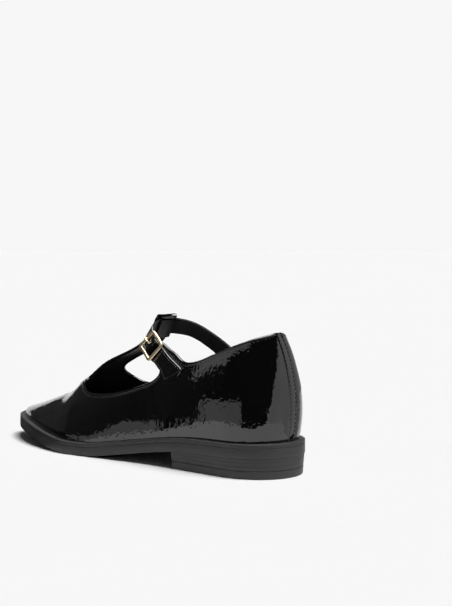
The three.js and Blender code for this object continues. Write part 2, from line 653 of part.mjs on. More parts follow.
// A quarter of the buckle's ring, from the middle of a side rail round to the middle of the
// outer bar, mirrored into the other three.
function buckleRing() {
  const { half, side, lift, dip, flat, corner } = BUCKLE;
  const quarter = [
    [0, side, lift - dip], [flat, side, lift - dip / 2], [half - corner, side, lift],
    [half, side - corner, lift], [half, 0, lift],
  ];
  const mirrored = (p, q) => quarter.map(([x, y, z]) => [p * x, q * y, z]);
  return [
    ...mirrored(1, 1), ...mirrored(1, -1).reverse().slice(1),
    ...mirrored(-1, -1).slice(1), ...mirrored(-1, 1).reverse().slice(1, -1),
  ].map((p) => buckle.at(...p));
}

// The middle bar drops from one side rail under the strap and rises to the other.
function middleBar() {
  const { side, lift, dip, bar } = BUCKLE;
  const foot = side - 1;
  return [[-side, lift - dip], [-foot, bar], [foot, bar], [side, lift - dip]].map(([q, z]) => buckle.at(0, q, z));
}

add(
  "buckle_frame",
  fromManifold(
    sweep(buckleRing(), BUCKLE.wire, { closed: true, segments: 40 }).add(sweep(middleBar(), BUCKLE.barWire)),
  ),
  gilt,
);

// The prong rises from beside the middle bar through the strap and rests over the outer bar.
const rest = BUCKLE.lift + BUCKLE.wire + GAP + PRONG.wire;
const prongPath = [
  [PRONG.root, BUCKLE.bar],
  [PRONG.hole, BUCKLE.lift],
  [PRONG.bend, rest - GAP],
  [BUCKLE.half, rest],
  [BUCKLE.half + PRONG.tip, rest - PRONG.droop],
].map(([p, z]) => buckle.at(p, 0, z));
add("buckle_prong", fromManifold(sweep(prongPath, PRONG.wire)), gilt);

const strapRings = Array.from({ length: SPANS * RINGS_PER_ROW + 1 }, (_, i) => strapRing(i / RINGS_PER_ROW));
const hole = sweep(prongPath.slice(0, 3), PRONG.wire + GAP);
add("ankle_strap", fromManifold(toManifold(loft(strapRings)).subtract(hole)), patent);

export default group;
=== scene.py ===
"""Looks of a left mary jane shoe in crinkled black patent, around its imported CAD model.

Places on the shoe are (u, l, z) in millimetres: u from the back of the sole towards the
toe, l from the centre line towards the outer side, z up. place() turns them into the
model's frame in metres. The tables and functions of the last are the CAD model's own.
"""

import math

import bmesh
import bpy
import numpy as np
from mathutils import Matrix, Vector


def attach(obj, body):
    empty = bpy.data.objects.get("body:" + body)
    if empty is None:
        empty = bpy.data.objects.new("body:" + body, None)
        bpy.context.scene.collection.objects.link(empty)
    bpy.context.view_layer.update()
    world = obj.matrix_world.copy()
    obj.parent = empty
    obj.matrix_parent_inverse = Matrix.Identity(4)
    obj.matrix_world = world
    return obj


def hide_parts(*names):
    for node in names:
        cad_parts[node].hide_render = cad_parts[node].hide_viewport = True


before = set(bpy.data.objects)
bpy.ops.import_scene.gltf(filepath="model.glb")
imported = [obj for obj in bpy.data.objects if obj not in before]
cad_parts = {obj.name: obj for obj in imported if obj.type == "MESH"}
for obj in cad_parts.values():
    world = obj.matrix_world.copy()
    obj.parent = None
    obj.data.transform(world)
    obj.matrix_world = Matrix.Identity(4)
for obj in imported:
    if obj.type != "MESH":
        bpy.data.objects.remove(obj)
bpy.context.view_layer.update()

# ---- The shoe's sizes, mm ----
SOLE_LENGTH = 270
HEEL_ROUND, HEEL_POWER = 35, 2.1
TOE_SWING, TOE_SWING_START = -3, 90
TOE_POWER_LENGTH, TOE_POWER_WIDTH = 1.62, 1.5
EDGE, WELT, GAP = 9, 2.8, 0.3
WALL = 1.8
INSOLE_THICK, ROOM_END = 2.5, 255
HEEL_BREAST, TOP_PIECE = 77, 5.2
HEEL_INSET_TOP, HEEL_INSET_JOINT, HEEL_INSET_FOOT = 0.4, 1.0, 1.3
FLAT_FROM, FLAT_TO = 154, 168
PINCH_SHARE, PINCH_LENGTH, PINCH_FROM, PINCH_TO, PINCH_GROW = 0.2, 34, 22, 85, 1.3
RIDGE_FROM, RIDGE_TO, RIDGE_SPREAD, RIDGE_CORNER = 34, 259, 1.04, 8
STEM_OUTER, STEM_INNER, STEM_MIDDLE, STEM_END, STEM_CUT = 3, -13, 89.5, 6.6, 9
STRAP_HALF, STRAP_TAPER, STRAP_AT_BUCKLE = 6.1, 5.8, 5.6
STRAP_THICK, STRAP_AT_LOOP, LOOP_FROM_HEEL = 1.6, 2.5, 114
LOOP_THICK, LOOP_SET, LOOP_FLAP = 1.4, 0.3, 8
BUCKLE_HALF, BUCKLE_SIDE, BUCKLE_WIRE, BUCKLE_LIFT = 6.9, 6.8, 0.85, 3.3
BUCKLE_DIP, BUCKLE_FLAT, BUCKLE_CORNER = 1.1, 3, 1.6
BAR_LIFT, BAR_WIRE = 1.2, 0.72
PRONG_WIRE, PRONG_ROOT, PRONG_HOLE, PRONG_BEND, PRONG_TIP, PRONG_DROOP = 0.6, 1.9, 2.4, 3.8, 1.1, 0.4
PAST_HEEL, ABOVE, BESIDE = -20, 150, 60
OUTER, INNER = 1.0, -1.0
CORNER = 1


def table(columns, *rows):
    """Rows of numbers as one array for each named column."""
    return dict(zip(columns.split(), np.array(rows, float).T))


def rows_of(columns):
    """The rows of a table, each with its columns' names."""
    return [dict(zip(columns, row)) for row in zip(*columns.values())]


WIDTHS = {
    OUTER: (172, table("u half", (0, 30), (35, 30.6), (75, 31), (105, 31.8), (135, 36.5), (172, 42.2))),
    INNER: (186, table("u half", (0, 30), (35, 30.2), (75, 29.6), (105, 29.2), (140, 34.5), (186, 42.8))),
}
UNDERSIDE = table(
    "u z",
    (0, 13.1), (35, 12.4), (75, 11), (105, 6.9), (139, 1.7), (154, 0), (168, 0), (185, 1.2),
    (215, 4.8), (245, 7.4), (270, 7.8),
)
WELT_SHOWS = table("u by", (0, 3.6), (60, 3.2), (130, 3.2), (200, 3.6), (270, 4.6))
LAST = table(
    "u ridge shift bulge low over high",
    (0, 108, 0, 8.3, 0.4, 0.2, 0.8),
    (30, 110, 0, 6, 0.38, 0.1, 0.9),
    (60, 111, -2, 4, 0.36, 0.16, 0.92),
    (85, 110, -4, 2.5, 0.36, 0.3, 0.94),
    (105, 110, -5, 2, 0.36, 0.38, 0.96),
    (112, 106, -5, 2, 0.36, 0.35, 0.98),
    (118, 98.3, -5, 2, 0.38, 0.33, 1),
    (122, 90.7, -5, 2, 0.4, 0.31, 1),
    (127, 83.3, -5, 2, 0.42, 0.31, 1),
    (133, 78, -5, 2, 0.44, 0.32, 1),
    (145, 71.8, -5, 2, 0.48, 0.36, 1),
    (160, 66.1, -4.5, 2.5, 0.5, 0.48, 1),
    (176, 58.2, -4, 3, 0.52, 0.57, 1),
    (190, 46.6, -4, 3, 0.54, 0.6, 1),
    (198, 41.5, -4, 3, 0.56, 0.59, 1),
    (208, 37.6, -4, 3, 0.58, 0.57, 1),
    (232, 29.7, -4.5, 3, 0.6, 0.55, 1),
    (250, 24.2, -5, 2.5, 0.6, 0.5, 1),
    (270, 18.5, -5, 2, 0.6, 0.5, 1),
)
# The collar and the edge of each cut-out from the side; a row marked CORNER is one.
COLLAR = [(PAST_HEEL, 88.4), (11.5, 88.4), (14.2, 87.6), (19.5, 85.6), (30.5, 80.9)]
TOPLINE = {
    OUTER: COLLAR + [
        (44, 75.4), (56, 70.5), (64, 68.5), (70, 68.1), (75.4, 69.7), (81, 72.8), (87.4, 75),
        (93.6, 77.7), (99, 80.2, CORNER), (107.6, 70, CORNER), (103.6, 67.4), (98.4, 65.5),
        (94.8, 63.3), (93.5, 60.2), (96.3, 56.4), (102, 52.9), (110, 50.1), (118.5, 47.3),
        (127, 45.1), (137, 43.2), (147, 42.2), (155, 42.1), (162, 42.9), (167, 44.6), (196, 46),
    ],
    INNER: COLLAR + [
        (44, 75.4), (56, 70.8), (65, 68.7), (73, 68.3), (80, 68), (85.5, 65.4), (90, 61.4),
        (96, 57.2), (104, 53.2), (115, 49.5), (128, 46.3), (142, 44.7), (156, 44.5), (163.5, 45.1),
        (168, 46.4), (172, 48.6), (186, 52),
    ],
}
# The T-bar's edges and the rounded front of each cut-out from above.
THROAT = {
    OUTER: [
        (PAST_HEEL, STEM_OUTER), (100, STEM_OUTER), (150, STEM_OUTER), (165, 3.2), (174, 4.1),
        (180, 6), (183, 8.8), (182.6, 12), (179.4, 16), (174, 20.8), (166.4, 26.2), (157, 34),
        (148, 46),
    ],
    INNER: [
        (PAST_HEEL, STEM_INNER), (100, STEM_INNER), (148, -13.3), (160, -13.9), (168.6, -14.7),
        (172.4, -16.4), (173.7, -19.2), (172.8, -22.3), (170.8, -25.3), (167.4, -28.4), (160, -35),
        (150, -46),
    ],
}


# ---- Curves and the last ----
def spline(xs, ys):
    """A natural cubic spline as a function of x, held level past its ends."""
    xs, ys = np.asarray(xs, float), np.asarray(ys, float)
    n = len(xs)
    h = np.diff(xs)
    system = np.eye(n)
    turn = np.zeros(n)
    for i in range(1, n - 1):
        system[i, i - 1 : i + 2] = h[i - 1], 2 * (h[i - 1] + h[i]), h[i]
        turn[i] = 6 * ((ys[i + 1] - ys[i]) / h[i] - (ys[i] - ys[i - 1]) / h[i - 1])
    bend = np.linalg.solve(system, turn)

    def value(x):
        x = np.clip(x, xs[0], xs[-1])
        i = np.clip(np.searchsorted(xs, x, side="right") - 1, 0, n - 2)
        b = (x - xs[i]) / h[i]
        a = 1 - b
        cubic = (a**3 - a) * bend[i] + (b**3 - b) * bend[i + 1]
        return a * ys[i] + b * ys[i + 1] + cubic * h[i] ** 2 / 6

    return value


last = {key: spline(LAST["u"], LAST[key]) for key in LAST if key != "u"}
welt_shows = spline(WELT_SHOWS["u"], WELT_SHOWS["by"])
underside_line = spline(UNDERSIDE["u"], UNDERSIDE["z"])
half_width = {side: spline(rows["u"], rows["half"]) for side, (_, rows) in WIDTHS.items()}


def underside(u):
    flat = (u > FLAT_FROM) & (u < FLAT_TO)
    return np.where(flat, 0, np.maximum(0, underside_line(u)))


def seat_top(u):
    return underside(u) + EDGE


def along_at(a):
    """u at a, which runs from 0 at the back of the heel to 1 at the tip of the toe."""
    return SOLE_LENGTH * (1 - np.cos(np.pi * a)) / 2


def station_of(u):
    return np.arccos(1 - 2 * np.asarray(u, float) / SOLE_LENGTH) / np.pi


def fold_ends(a, side):
    """Past either end the outline carries on along the other side."""
    side = np.where((a < 0) | (a > 1), -side, side)
    a = np.abs(a)
    return np.where(a > 1, 2 - a, a), side


def edge_point(a, side):
    """The sole's edge in plan, as (u, l)."""
    a, side = fold_ends(a, side)
    u = along_at(a)
    half = np.zeros(np.shape(u))
    for which, (ball, _) in WIDTHS.items():
        width = half_width[which](np.minimum(u, ball))
        x = np.clip((u - ball) / (SOLE_LENGTH - ball), 0, 1)
        width = width * (1 - x**TOE_POWER_LENGTH) ** (1 / TOE_POWER_WIDTH)
        half = np.where(side == which, width, half)
    back = np.clip(1 - u / HEEL_ROUND, 0, 1)
    half = half * (1 - back**HEEL_POWER) ** (1 / HEEL_POWER)
    swing = np.clip((u - TOE_SWING_START) / (SOLE_LENGTH - TOE_SWING_START), 0, None)
    return np.stack([u, side * half + TOE_SWING * swing**2], -1)


def inset_point(a, side, by):
    """The edge moved inwards, square to itself."""
    step = 1e-3
    along = edge_point(a + step, side) - edge_point(a - step, side)
    along /= np.linalg.norm(along, axis=-1, keepdims=True)
    inwards = np.stack([along[..., 1], -along[..., 0]], -1) * np.asarray(side)[..., None]
    return edge_point(a, side) + inwards * np.asarray(by)[..., None]


def ridge_along(u):
    middle = (RIDGE_FROM + RIDGE_TO) / 2
    half = (RIDGE_TO - RIDGE_FROM) / 2
    x = (u - middle) / half
    return middle + half * RIDGE_SPREAD * x / (1 + np.abs(x) ** RIDGE_CORNER) ** (1 / RIDGE_CORNER)


def pinch(u, z):
    height = np.clip((z - PINCH_FROM) / (PINCH_TO - PINCH_FROM), 0, 1)
    return PINCH_SHARE * np.exp(-((np.maximum(0, u) / PINCH_LENGTH) ** 2)) * height**PINCH_GROW


def surface(a, s, side):
    """The last's surface. s runs from 0 at the feather line to 1 on the ridge and on past it."""
    a, s, side = np.broadcast_arrays(np.asarray(a, float), np.asarray(s, float), np.asarray(side, float))
    a, side = fold_ends(a, side)
    side = np.where(s > 1, -side, side)
    s = np.maximum(0, np.where(s > 1, 2 - s, s))[..., None]
    u = along_at(a)
    foot = inset_point(a, side, welt_shows(u))
    ground = seat_top(u) + GAP
    top_u = ridge_along(u)
    top = np.stack([top_u, last["shift"](top_u), last["ridge"](top_u)], -1)
    out = foot - top[..., :2]
    reach = np.linalg.norm(out, axis=-1)
    out = out / reach[..., None]
    rise = top[..., 2] - ground

    def at(inwards, up):
        flat = foot - out * np.asarray(inwards)[..., None]
        return np.concatenate([flat, (ground + up)[..., None]], -1)

    p0 = at(0 * u, 0)
    p1 = at(-last["bulge"](u), last["low"](u) * rise)
    p2 = at(last["over"](u) * reach, last["high"](u) * rise)
    p = (1 - s) ** 3 * p0 + 3 * (1 - s) ** 2 * s * p1 + 3 * (1 - s) * s**2 * p2 + s**3 * top
    p[..., 1] *= 1 - pinch(p[..., 0], p[..., 2])
    return p


def unit(v):
    return v / np.maximum(np.linalg.norm(v, axis=-1, keepdims=True), 1e-9)


def outward(a, s, side):
    step = 2e-3
    a, s, side = (np.asarray(x, float) for x in (a, s, side))
    along = surface(a + step, s, side) - surface(a - step, s, side)
    up = surface(a, s + step, side) - surface(a, s - step, side)
    return unit(np.cross(up, along) * side[..., None])


def off_last(a, s, side, lift):
    return surface(a, s, side) + outward(a, s, side) * np.asarray(lift)[..., None]


def on_last(side, axis, value, z):
    """(a, s) where the surface has a height and a place along (0) or across (1) the shoe."""
    rounds, ease, step, instep = 40, 0.7, 1e-4, 125
    a = float(station_of(instep if axis else value))
    s = 0.85 if axis else 0.5
    for _ in range(rounds):
        p = surface(a, s, side)
        da = (surface(a + step, s, side) - p) / step
        ds = (surface(a, s + step, side) - p) / step
        e, f = value - p[axis], z - p[2]
        det = da[axis] * ds[2] - ds[axis] * da[2]
        a += ease * (e * ds[2] - f * ds[axis]) / det
        s += ease * (f * da[axis] - e * da[2]) / det
    return a, s


# ---- From the shoe's places to meshes ----
_stations = np.linspace(0, 1, 401)
FRAME_X = -(edge_point(_stations, OUTER)[:, 1].max() + edge_point(_stations, INNER)[:, 1].min()) / 2
FRAME_Y = SOLE_LENGTH / 2


def place(p):
    """(u, l, z) in mm to the model's frame in metres."""
    p = np.asarray(p, float)
    return np.stack([p[..., 1] + FRAME_X, FRAME_Y - p[..., 0], p[..., 2]], -1) / 1000


def new_object(name, points, mat, faces=None):
    """A mesh object in the scene, from places in metres: one face, or the faces given."""
    mesh = bpy.data.meshes.new(name)
    mesh.from_pydata(points, [], faces or [tuple(range(len(points)))])
    mesh.materials.append(mat)
    obj = bpy.data.objects.new(name, mesh)
    bpy.context.scene.collection.objects.link(obj)
    return obj


def piece(name, points, faces, mat, slot, replaces=(), sharp_deg=40, merge_mm=0.0):
    """A named mesh from places on the shoe; it rides on the one body."""
    obj = new_object(name, place(points).tolist(), mat, [list(map(int, f)) for f in faces])
    mesh = obj.data
    if merge_mm:
        bm = bmesh.new()
        bm.from_mesh(mesh)
        bmesh.ops.remove_doubles(bm, verts=bm.verts, dist=merge_mm / 1000)
        bmesh.ops.dissolve_degenerate(bm, edges=bm.edges, dist=1e-6)
        bm.to_mesh(mesh)
        bm.free()
    mesh.update()
    mesh.polygons.foreach_set("use_smooth", [True] * len(mesh.polygons))
    mesh.set_sharp_from_angle(angle=math.radians(sharp_deg))
    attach(obj, "root")
    if replaces:
        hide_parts(*replaces)


def grid_faces(rows, cols, wrap_rows=False, wrap_cols=False):
    """Quads of a grid of points numbered row by row."""
    faces = []
    for i in range(rows if wrap_rows else rows - 1):
        for j in range(cols if wrap_cols else cols - 1):
            i2, j2 = (i + 1) % rows, (j + 1) % cols
            faces.append((i * cols + j, i * cols + j2, i2 * cols + j2, i2 * cols + j))
    return faces


def end_caps(rows, cols):
    """Flat faces over the first and the last ring of a grid."""
    return [tuple(range(cols))[::-1], tuple((rows - 1) * cols + j for j in range(cols))]


def solid(rings, closed=False):
    """Rings of points, one after another, as a solid with flat ends or as a closed loop."""
    rings = np.asarray(rings)
    rows, cols = rings.shape[:2]
    faces = grid_faces(rows, cols, wrap_rows=closed, wrap_cols=True)
    if not closed:
        faces += end_caps(rows, cols)
    points = rings.reshape(-1, 3)
    return points, oriented(points, faces)


def tube(centres, side_axis, lift_axis, section, closed=False):
    """A section of (side, lift) points swept along centres."""
    section = np.asarray(section, float)
    sideways = section[None, :, 0, None] * side_axis[:, None, :]
    lifted = section[None, :, 1, None] * lift_axis[:, None, :]
    return solid(centres[:, None, :] + sideways + lifted, closed)


def oriented(points, faces):
    """The same faces, turned to point out of the solid."""
    volume = 0.0
    for f in faces:
        for k in range(1, len(f) - 1):
            volume += np.dot(points[f[0]], np.cross(points[f[k]], points[f[k + 1]]))
    # (u, l, z) is placed with u reversed and l, u swapped, which keeps the hand.
    return faces if volume > 0 else [tuple(reversed(f)) for f in faces]


def joined(parts):
    """Several (points, faces) as one."""
    points, faces, start = [], [], 0
    for p, f in parts:
        points.append(p)
        faces += [tuple(i + start for i in face) for face in f]
        start += len(p)
    return np.concatenate(points), faces


def run_of(line, closed=False):
    """The way a line runs at each of its points."""
    return unit(np.roll(line, -1, 0) - np.roll(line, 1, 0) if closed else np.gradient(line, axis=0))


def resampled(line, step, closed=False):
    """The line at even spacing, as positions along it and an interpolator for other arrays."""
    run = np.vstack([line, line[:1]]) if closed else line
    length = np.concatenate([[0], np.cumsum(np.linalg.norm(np.diff(run, axis=0), axis=1))])
    count = max(2, int(round(length[-1] / step)))
    at = np.linspace(0, length[-1], count + 1)
    if closed:
        at = at[:-1]

    def take(values):
        values = np.vstack([values, values[:1]]) if closed else values
        return np.stack([np.interp(at, length, values[:, k]) for k in range(values.shape[1])], -1)

    return take(line), take


def span(p, q, leaving, arriving, count):
    """Places on the cubic from p towards q that leaves and arrives at the given speeds."""
    places = []
    for t in np.arange(count) / count:
        cubic = (2 * p - 2 * q + leaving + arriving) * t**3
        square = (-3 * p + 3 * q - 2 * leaving - arriving) * t**2
        places.append(cubic + square + leaving * t + p)
    return places


def catmull(points, per_span):
    """A uniform Catmull-Rom line through points."""
    points = np.asarray(points, float)
    ends = np.vstack([points[:1], points, points[-1:]])
    out = []
    for p0, p1, p2, p3 in zip(ends, ends[1:], ends[2:], ends[3:]):
        out += span(p1, p2, (p2 - p0) / 2, (p3 - p1) / 2, per_span)
    return np.array([*out, points[-1]])


def smooth_line(rows, per_span=8):
    """A smooth line through rows of (x, y), broken at those marked as a corner."""
    line, run = [], []
    for x, y, *corner in rows:
        run.append((x, y))
        if corner and len(run) > 1:
            line += list(catmull(run, per_span))
            run = [(x, y)]
    line += list(catmull(run, per_span))
    return np.array(line)


# ---- Materials ----
def join(tree, target, value):
    """A node's input set to a value, or linked to another node's output."""
    if isinstance(value, bpy.types.NodeSocket):
        tree.links.new(value, target)
    else:
        target.default_value = value


def node(tree, kind, inputs, **settings):
    """The outputs of a new node, with its settings made and its inputs joined."""
    made = tree.nodes.new("ShaderNode" + kind)
    for key, value in settings.items():
        setattr(made, key, value)
    for key, value in inputs.items():
        join(tree, made.inputs[key], value)
    return made.outputs


def material(name):
    """A new material, its node tree and its object coordinates."""
    mat = bpy.data.materials.new(name)
    mat.use_nodes = True
    return mat, mat.node_tree, node(mat.node_tree, "TexCoord", {})["Object"]


def ramp(tree, source, low, high, at=(0.3, 0.7)):
    """source mapped from at[0]..at[1] to low..high."""
    ends = {"From Min": at[0], "From Max": at[1], "To Min": low, "To Max": high}
    return node(tree, "MapRange", {"Value": source, **ends})["Result"]


def tinted(tree, source, dark, light):
    colours = {"Factor": source, "A": (*dark, 1), "B": (*light, 1)}
    return node(tree, "Mix", colours, data_type="RGBA")["Result"]


def noise(tree, coords, scale, detail=3, rough=0.5, distortion=0):
    grain = {"Scale": scale, "Detail": detail, "Roughness": rough, "Distortion": distortion}
    return node(tree, "TexNoise", {"Vector": coords, **grain})["Fac"]


def shaded(tree, values, bumps=()):
    """The shader's inputs, with bumps of (height, strength, metres) laid over one another."""
    normal = {}
    for height, strength, distance in bumps:
        bump = {"Height": height, "Strength": strength, "Distance": distance, **normal}
        normal = {"Normal": node(tree, "Bump", bump)["Normal"]}
    for key, value in {**values, **normal}.items():
        join(tree, tree.nodes["Principled BSDF"].inputs[key], value)


def patent_leather(name, crinkle=1.0):
    """Black crushed patent: a deep gloss over fine short crinkles."""
    mat, tree, coords = material(name)
    broad = noise(tree, coords, scale=60, detail=1)
    crush = noise(tree, coords, scale=300, detail=0.6, distortion=0.9)
    colour = tinted(tree, broad, (0.0009, 0.0009, 0.001), (0.0016, 0.0016, 0.0018))
    looks = {"Base Color": colour, "Roughness": ramp(tree, crush, 0.02, 0.045), "IOR": 1.75}
    shaded(tree, looks, [(broad, 1.0, 0.00016 * crinkle), (crush, 1.0, 0.00011 * crinkle)])
    return mat


def lining_leather(name, dark, light):
    """Matt black lining with a fine pig-skin grain."""
    mat, tree, coords = material(name)
    pores = node(tree, "TexVoronoi", {"Vector": coords, "Scale": 900})["Distance"]
    patches = noise(tree, coords, scale=60)
    looks = {"Base Color": tinted(tree, patches, dark, light), "Roughness": ramp(tree, patches, 0.5, 0.68)}
    shaded(tree, looks, [(pores, 0.35, 0.0001)])
    return mat


def rubber(name, dark, light, lines=0.0):
    """Matt sole rubber; lines gives it the fine level lines of a stacked heel."""
    mat, tree, coords = material(name)
    patches = noise(tree, coords, scale=45, detail=4)
    bumps = [(noise(tree, coords, scale=2200), 0.3, 0.00006)]
    if lines:
        squashed = node(tree, "Mapping", {"Vector": coords, "Scale": (3, 3, 900)})["Vector"]
        bumps.append((noise(tree, squashed, scale=1, rough=0.6), lines, 0.00018))
    colour = tinted(tree, patches, dark, light)
    looks = {"Base Color": colour, "Roughness": ramp(tree, patches, 0.42, 0.6), "IOR": 1.52}
    shaded(tree, looks, bumps)
    return mat


def gilt_metal(name):
    """Pale gold plate, polished, with faint wear."""
    mat, tree, coords = material(name)
    wear = noise(tree, coords, scale=500, detail=4)
    colour = tinted(tree, wear, (0.94, 0.73, 0.47), (1.0, 0.85, 0.61))
    looks = {"Base Color": colour, "Metallic": 1.0, "Roughness": ramp(tree, wear, 0.26, 0.38)}
    shaded(tree, looks, [(wear, 0.08, 0.00003)])
    return mat


def thread_material(name):
    mat, tree, coords = material(name)
    twist = noise(tree, coords, scale=3000, detail=2)
    colour = tinted(tree, twist, (0.012, 0.012, 0.012), (0.04, 0.04, 0.04))
    shaded(tree, {"Base Color": colour, "Roughness": 0.45}, [(twist, 0.5, 0.0001)])
    return mat


PATENT = patent_leather("crinkled_patent")
PATENT_EDGE = patent_leather("patent_edge", crinkle=0.5)
LINING = lining_leather("lining_leather", (0.009, 0.0088, 0.0085), (0.016, 0.0155, 0.015))
# A darker copy of the lining leather for the T-bar's flap: painted shade for the flap that sits in shadow
# behind the strap.
FLAP_PAINTED_SHADE = lining_leather("flap_painted_shade", (0.002, 0.002, 0.002), (0.004, 0.004, 0.004))
SOLE_RUBBER = rubber("sole_rubber", (0.023, 0.023, 0.024), (0.034, 0.034, 0.035), lines=0.2)
WELT_RUBBER = rubber("welt_rubber", (0.020, 0.020, 0.021), (0.030, 0.030, 0.031))
GILT = gilt_metal("pale_gilt")
THREAD = thread_material("black_thread")


# ---- The sole ----
def slab(profile, until, stations=220):
    """A piece of the sole: profile(u) gives (inset, height) rows up its edge, from the
    bottom face to the top face."""
    end = float(station_of(until))
    a = np.linspace(0, end, int(stations * end) + 1)
    u = along_at(a)
    inset, height = profile(u)
    rings = []
    for side, order in ((OUTER, 1), (INNER, -1)):
        column = []
        for k in range(inset.shape[0])[::order]:
            p = inset_point(a, np.full(a.shape, side), inset[k])
            if until < SOLE_LENGTH:
                p[:, 0] = np.minimum(p[:, 0], until)
            column.append(np.concatenate([p, height[k][:, None]], 1))
        rings += column
    return solid(np.stack(rings, 1))


def edge_profile(low, high, insets, rounds, grooves=()):
    """Rows (inset, height) up an edge between two heights. Each pair is for the bottom and
    the top; shallow grooves are given as (share of the height, depth)."""
    turns = np.linspace(0, math.pi / 2, 4)
    groove_half = 0.3

    def profile(u):
        bottom, top = low(u) + 0 * u, high(u) + 0 * u
        rows = []
        for t in turns:
            corner = rounds[0] * (1 - math.sin(t)), rounds[0] * (1 - math.cos(t))
            rows.append((insets[0] + corner[0], bottom + corner[1]))
        for share, depth in grooves:
            at = bottom + (top - bottom) * share
            lean = insets[0] + (insets[1] - insets[0]) * share
            rows += [(lean, at - groove_half), (lean + depth, at), (lean, at + groove_half)]
        for t in turns[::-1]:
            corner = rounds[1] * (1 - math.sin(t)), rounds[1] * (1 - math.cos(t))
            rows.append((insets[1] + corner[0], top - corner[1]))
        inset = np.stack([np.broadcast_to(r[0], u.shape) for r in rows])
        return inset, np.stack([r[1] for r in rows])

    return profile


def level(value):
    return lambda u: value + 0 * u


def footbed(u):
    """The insole's edge, rounded over into a slight crown."""
    inside = welt_shows(u) + WALL + 0.2
    rows = [(inside, seat_top(u) + GAP), (inside, seat_top(u) + INSOLE_THICK - 0.6)]
    for inwards, up in ((0.6, 0), (3, 0.15), (9, 0.1), (16, 0)):
        reach = np.minimum(inwards, 0.5 * half_width[INNER](u))
        rows.append((inside + reach, seat_top(u) + GAP + INSOLE_THICK + up))
    return np.stack([r[0] for r in rows]), np.stack([r[1] for r in rows])


def welt_foot(u):
    return underside(u) + EDGE - WELT


def raised(line, by):
    return lambda u: line(u) + by


def build_sole():
    over_outsole, over_lift, into_outsole = 0.12, 0.15, 0.3
    outsole = edge_profile(underside, welt_foot, insets=(0, 0), rounds=(0.9, 0.25))
    welt = edge_profile(raised(welt_foot, over_outsole), seat_top, insets=(0.05, 0), rounds=(0.3, 0.7))
    stack = edge_profile(
        level(TOP_PIECE + over_lift), raised(underside, into_outsole),
        insets=(HEEL_INSET_JOINT, HEEL_INSET_TOP), rounds=(0.2, 0.1), grooves=[(0.4, 0.08), (0.72, 0.08)],
    )
    lift = edge_profile(
        level(0), level(TOP_PIECE), insets=(HEEL_INSET_FOOT, HEEL_INSET_JOINT), rounds=(0.7, 0.35)
    )
    for name, profile, until, mat, slot, node_name in (
        ("outsole_edge", outsole, SOLE_LENGTH, SOLE_RUBBER, "sole_rubber", "outsole"),
        ("welt_strip", welt, SOLE_LENGTH, WELT_RUBBER, "welt_rubber", "welt"),
        ("heel_stack", stack, HEEL_BREAST, SOLE_RUBBER, "sole_rubber", "heel_block"),
        ("heel_top_lift", lift, HEEL_BREAST, SOLE_RUBBER, "sole_rubber", "heel_top_piece"),
        ("footbed", footbed, ROOM_END - GAP, LINING, "lining", "insole"),
    ):
        piece(name, *slab(profile, until), mat, slot, [node_name], merge_mm=0.02)


# ---- The upper ----
def catalogue_openings():
    profiles = {}
    for side in (OUTER, INNER):
        top = smooth_line(TOPLINE[side])
        profile = np.vstack([top, [top[-1, 0], ABOVE], [PAST_HEEL, ABOVE]])
        edge = smooth_line(THROAT[side])
        plan = np.vstack([edge, [edge[-1, 0], side * BESIDE], [PAST_HEEL, side * BESIDE]])
        profiles[side] = profile, plan
    return profiles


TINY = 1e-12


def polygon_distance(p, polygon):
    """Signed distance in mm from points to a polygon, positive inside."""
    best = np.full(len(p), np.inf)
    inside = np.zeros(len(p), bool)
    for q, r in zip(polygon, np.roll(polygon, -1, 0)):
        run = r - q
        length = run @ run
        if length < TINY:
            continue
        t = np.clip(((p - q) @ run) / length, 0, 1)
        best = np.minimum(best, np.hypot(*(p - q - t[:, None] * run).T))
        if abs(run[1]) > TINY:
            crosses = (q[1] > p[:, 1]) != (r[1] > p[:, 1])
            inside ^= crosses & (p[:, 0] < q[0] + (p[:, 1] - q[1]) * run[0] / run[1])
    return np.where(inside, best, -best)


def both(p, q, blend):
    """The smaller of two distances, rounded where they are close."""
    h = np.clip(0.5 + 0.5 * (q - p) / blend, 0, 1)
    return q + (p - q) * h - blend * h * (1 - h)


def stem_frame(l):
    """At a place across the T-bar near its top: its surface, outwards, and up along it."""
    middle = float(last["shift"](LOOP_FROM_HEEL))
    side = OUTER if l > middle else INNER
    a, s = on_last(side, 1, l, STEM_MIDDLE)
    out = outward(a, s, side)
    up = unit(np.cross(out, (0, 1, 0)))
    return surface(a, s, side), out, up


def stem_place(l, lift, height):
    origin, out, up = stem_frame(l)
    return origin + out * lift + up * height


def leather_field():
    """A function of points on the last: how far inside the leather they are, in mm."""
    shapes = catalogue_openings()
    middle = (STEM_OUTER + STEM_INNER) / 2
    inside, outside = stem_place(middle, -STEM_CUT, STEM_END), stem_place(middle, STEM_CUT, STEM_END)
    collar = smooth_line(COLLAR)
    over = np.vstack([
        collar, [inside[0], collar[-1, 1]], [inside[0], inside[2]], [outside[0], outside[2]],
        [outside[0], ABOVE], [PAST_HEEL, ABOVE],
    ])
    spare, blend = 6, 2.0

    def field(p):
        cut = np.full(len(p), -np.inf)
        for profile, plan in shapes.values():
            high = polygon_distance(p[:, [0, 2]], profile)
            wide = polygon_distance(p[:, [0, 1]], plan)
            cut = np.maximum(cut, both(high, wide, blend))
        across = np.minimum(p[:, 1] - STEM_INNER + spare, STEM_OUTER + spare - p[:, 1])
        cut = np.maximum(cut, np.minimum(polygon_distance(p[:, [0, 2]], over), across))
        return -cut

    return field
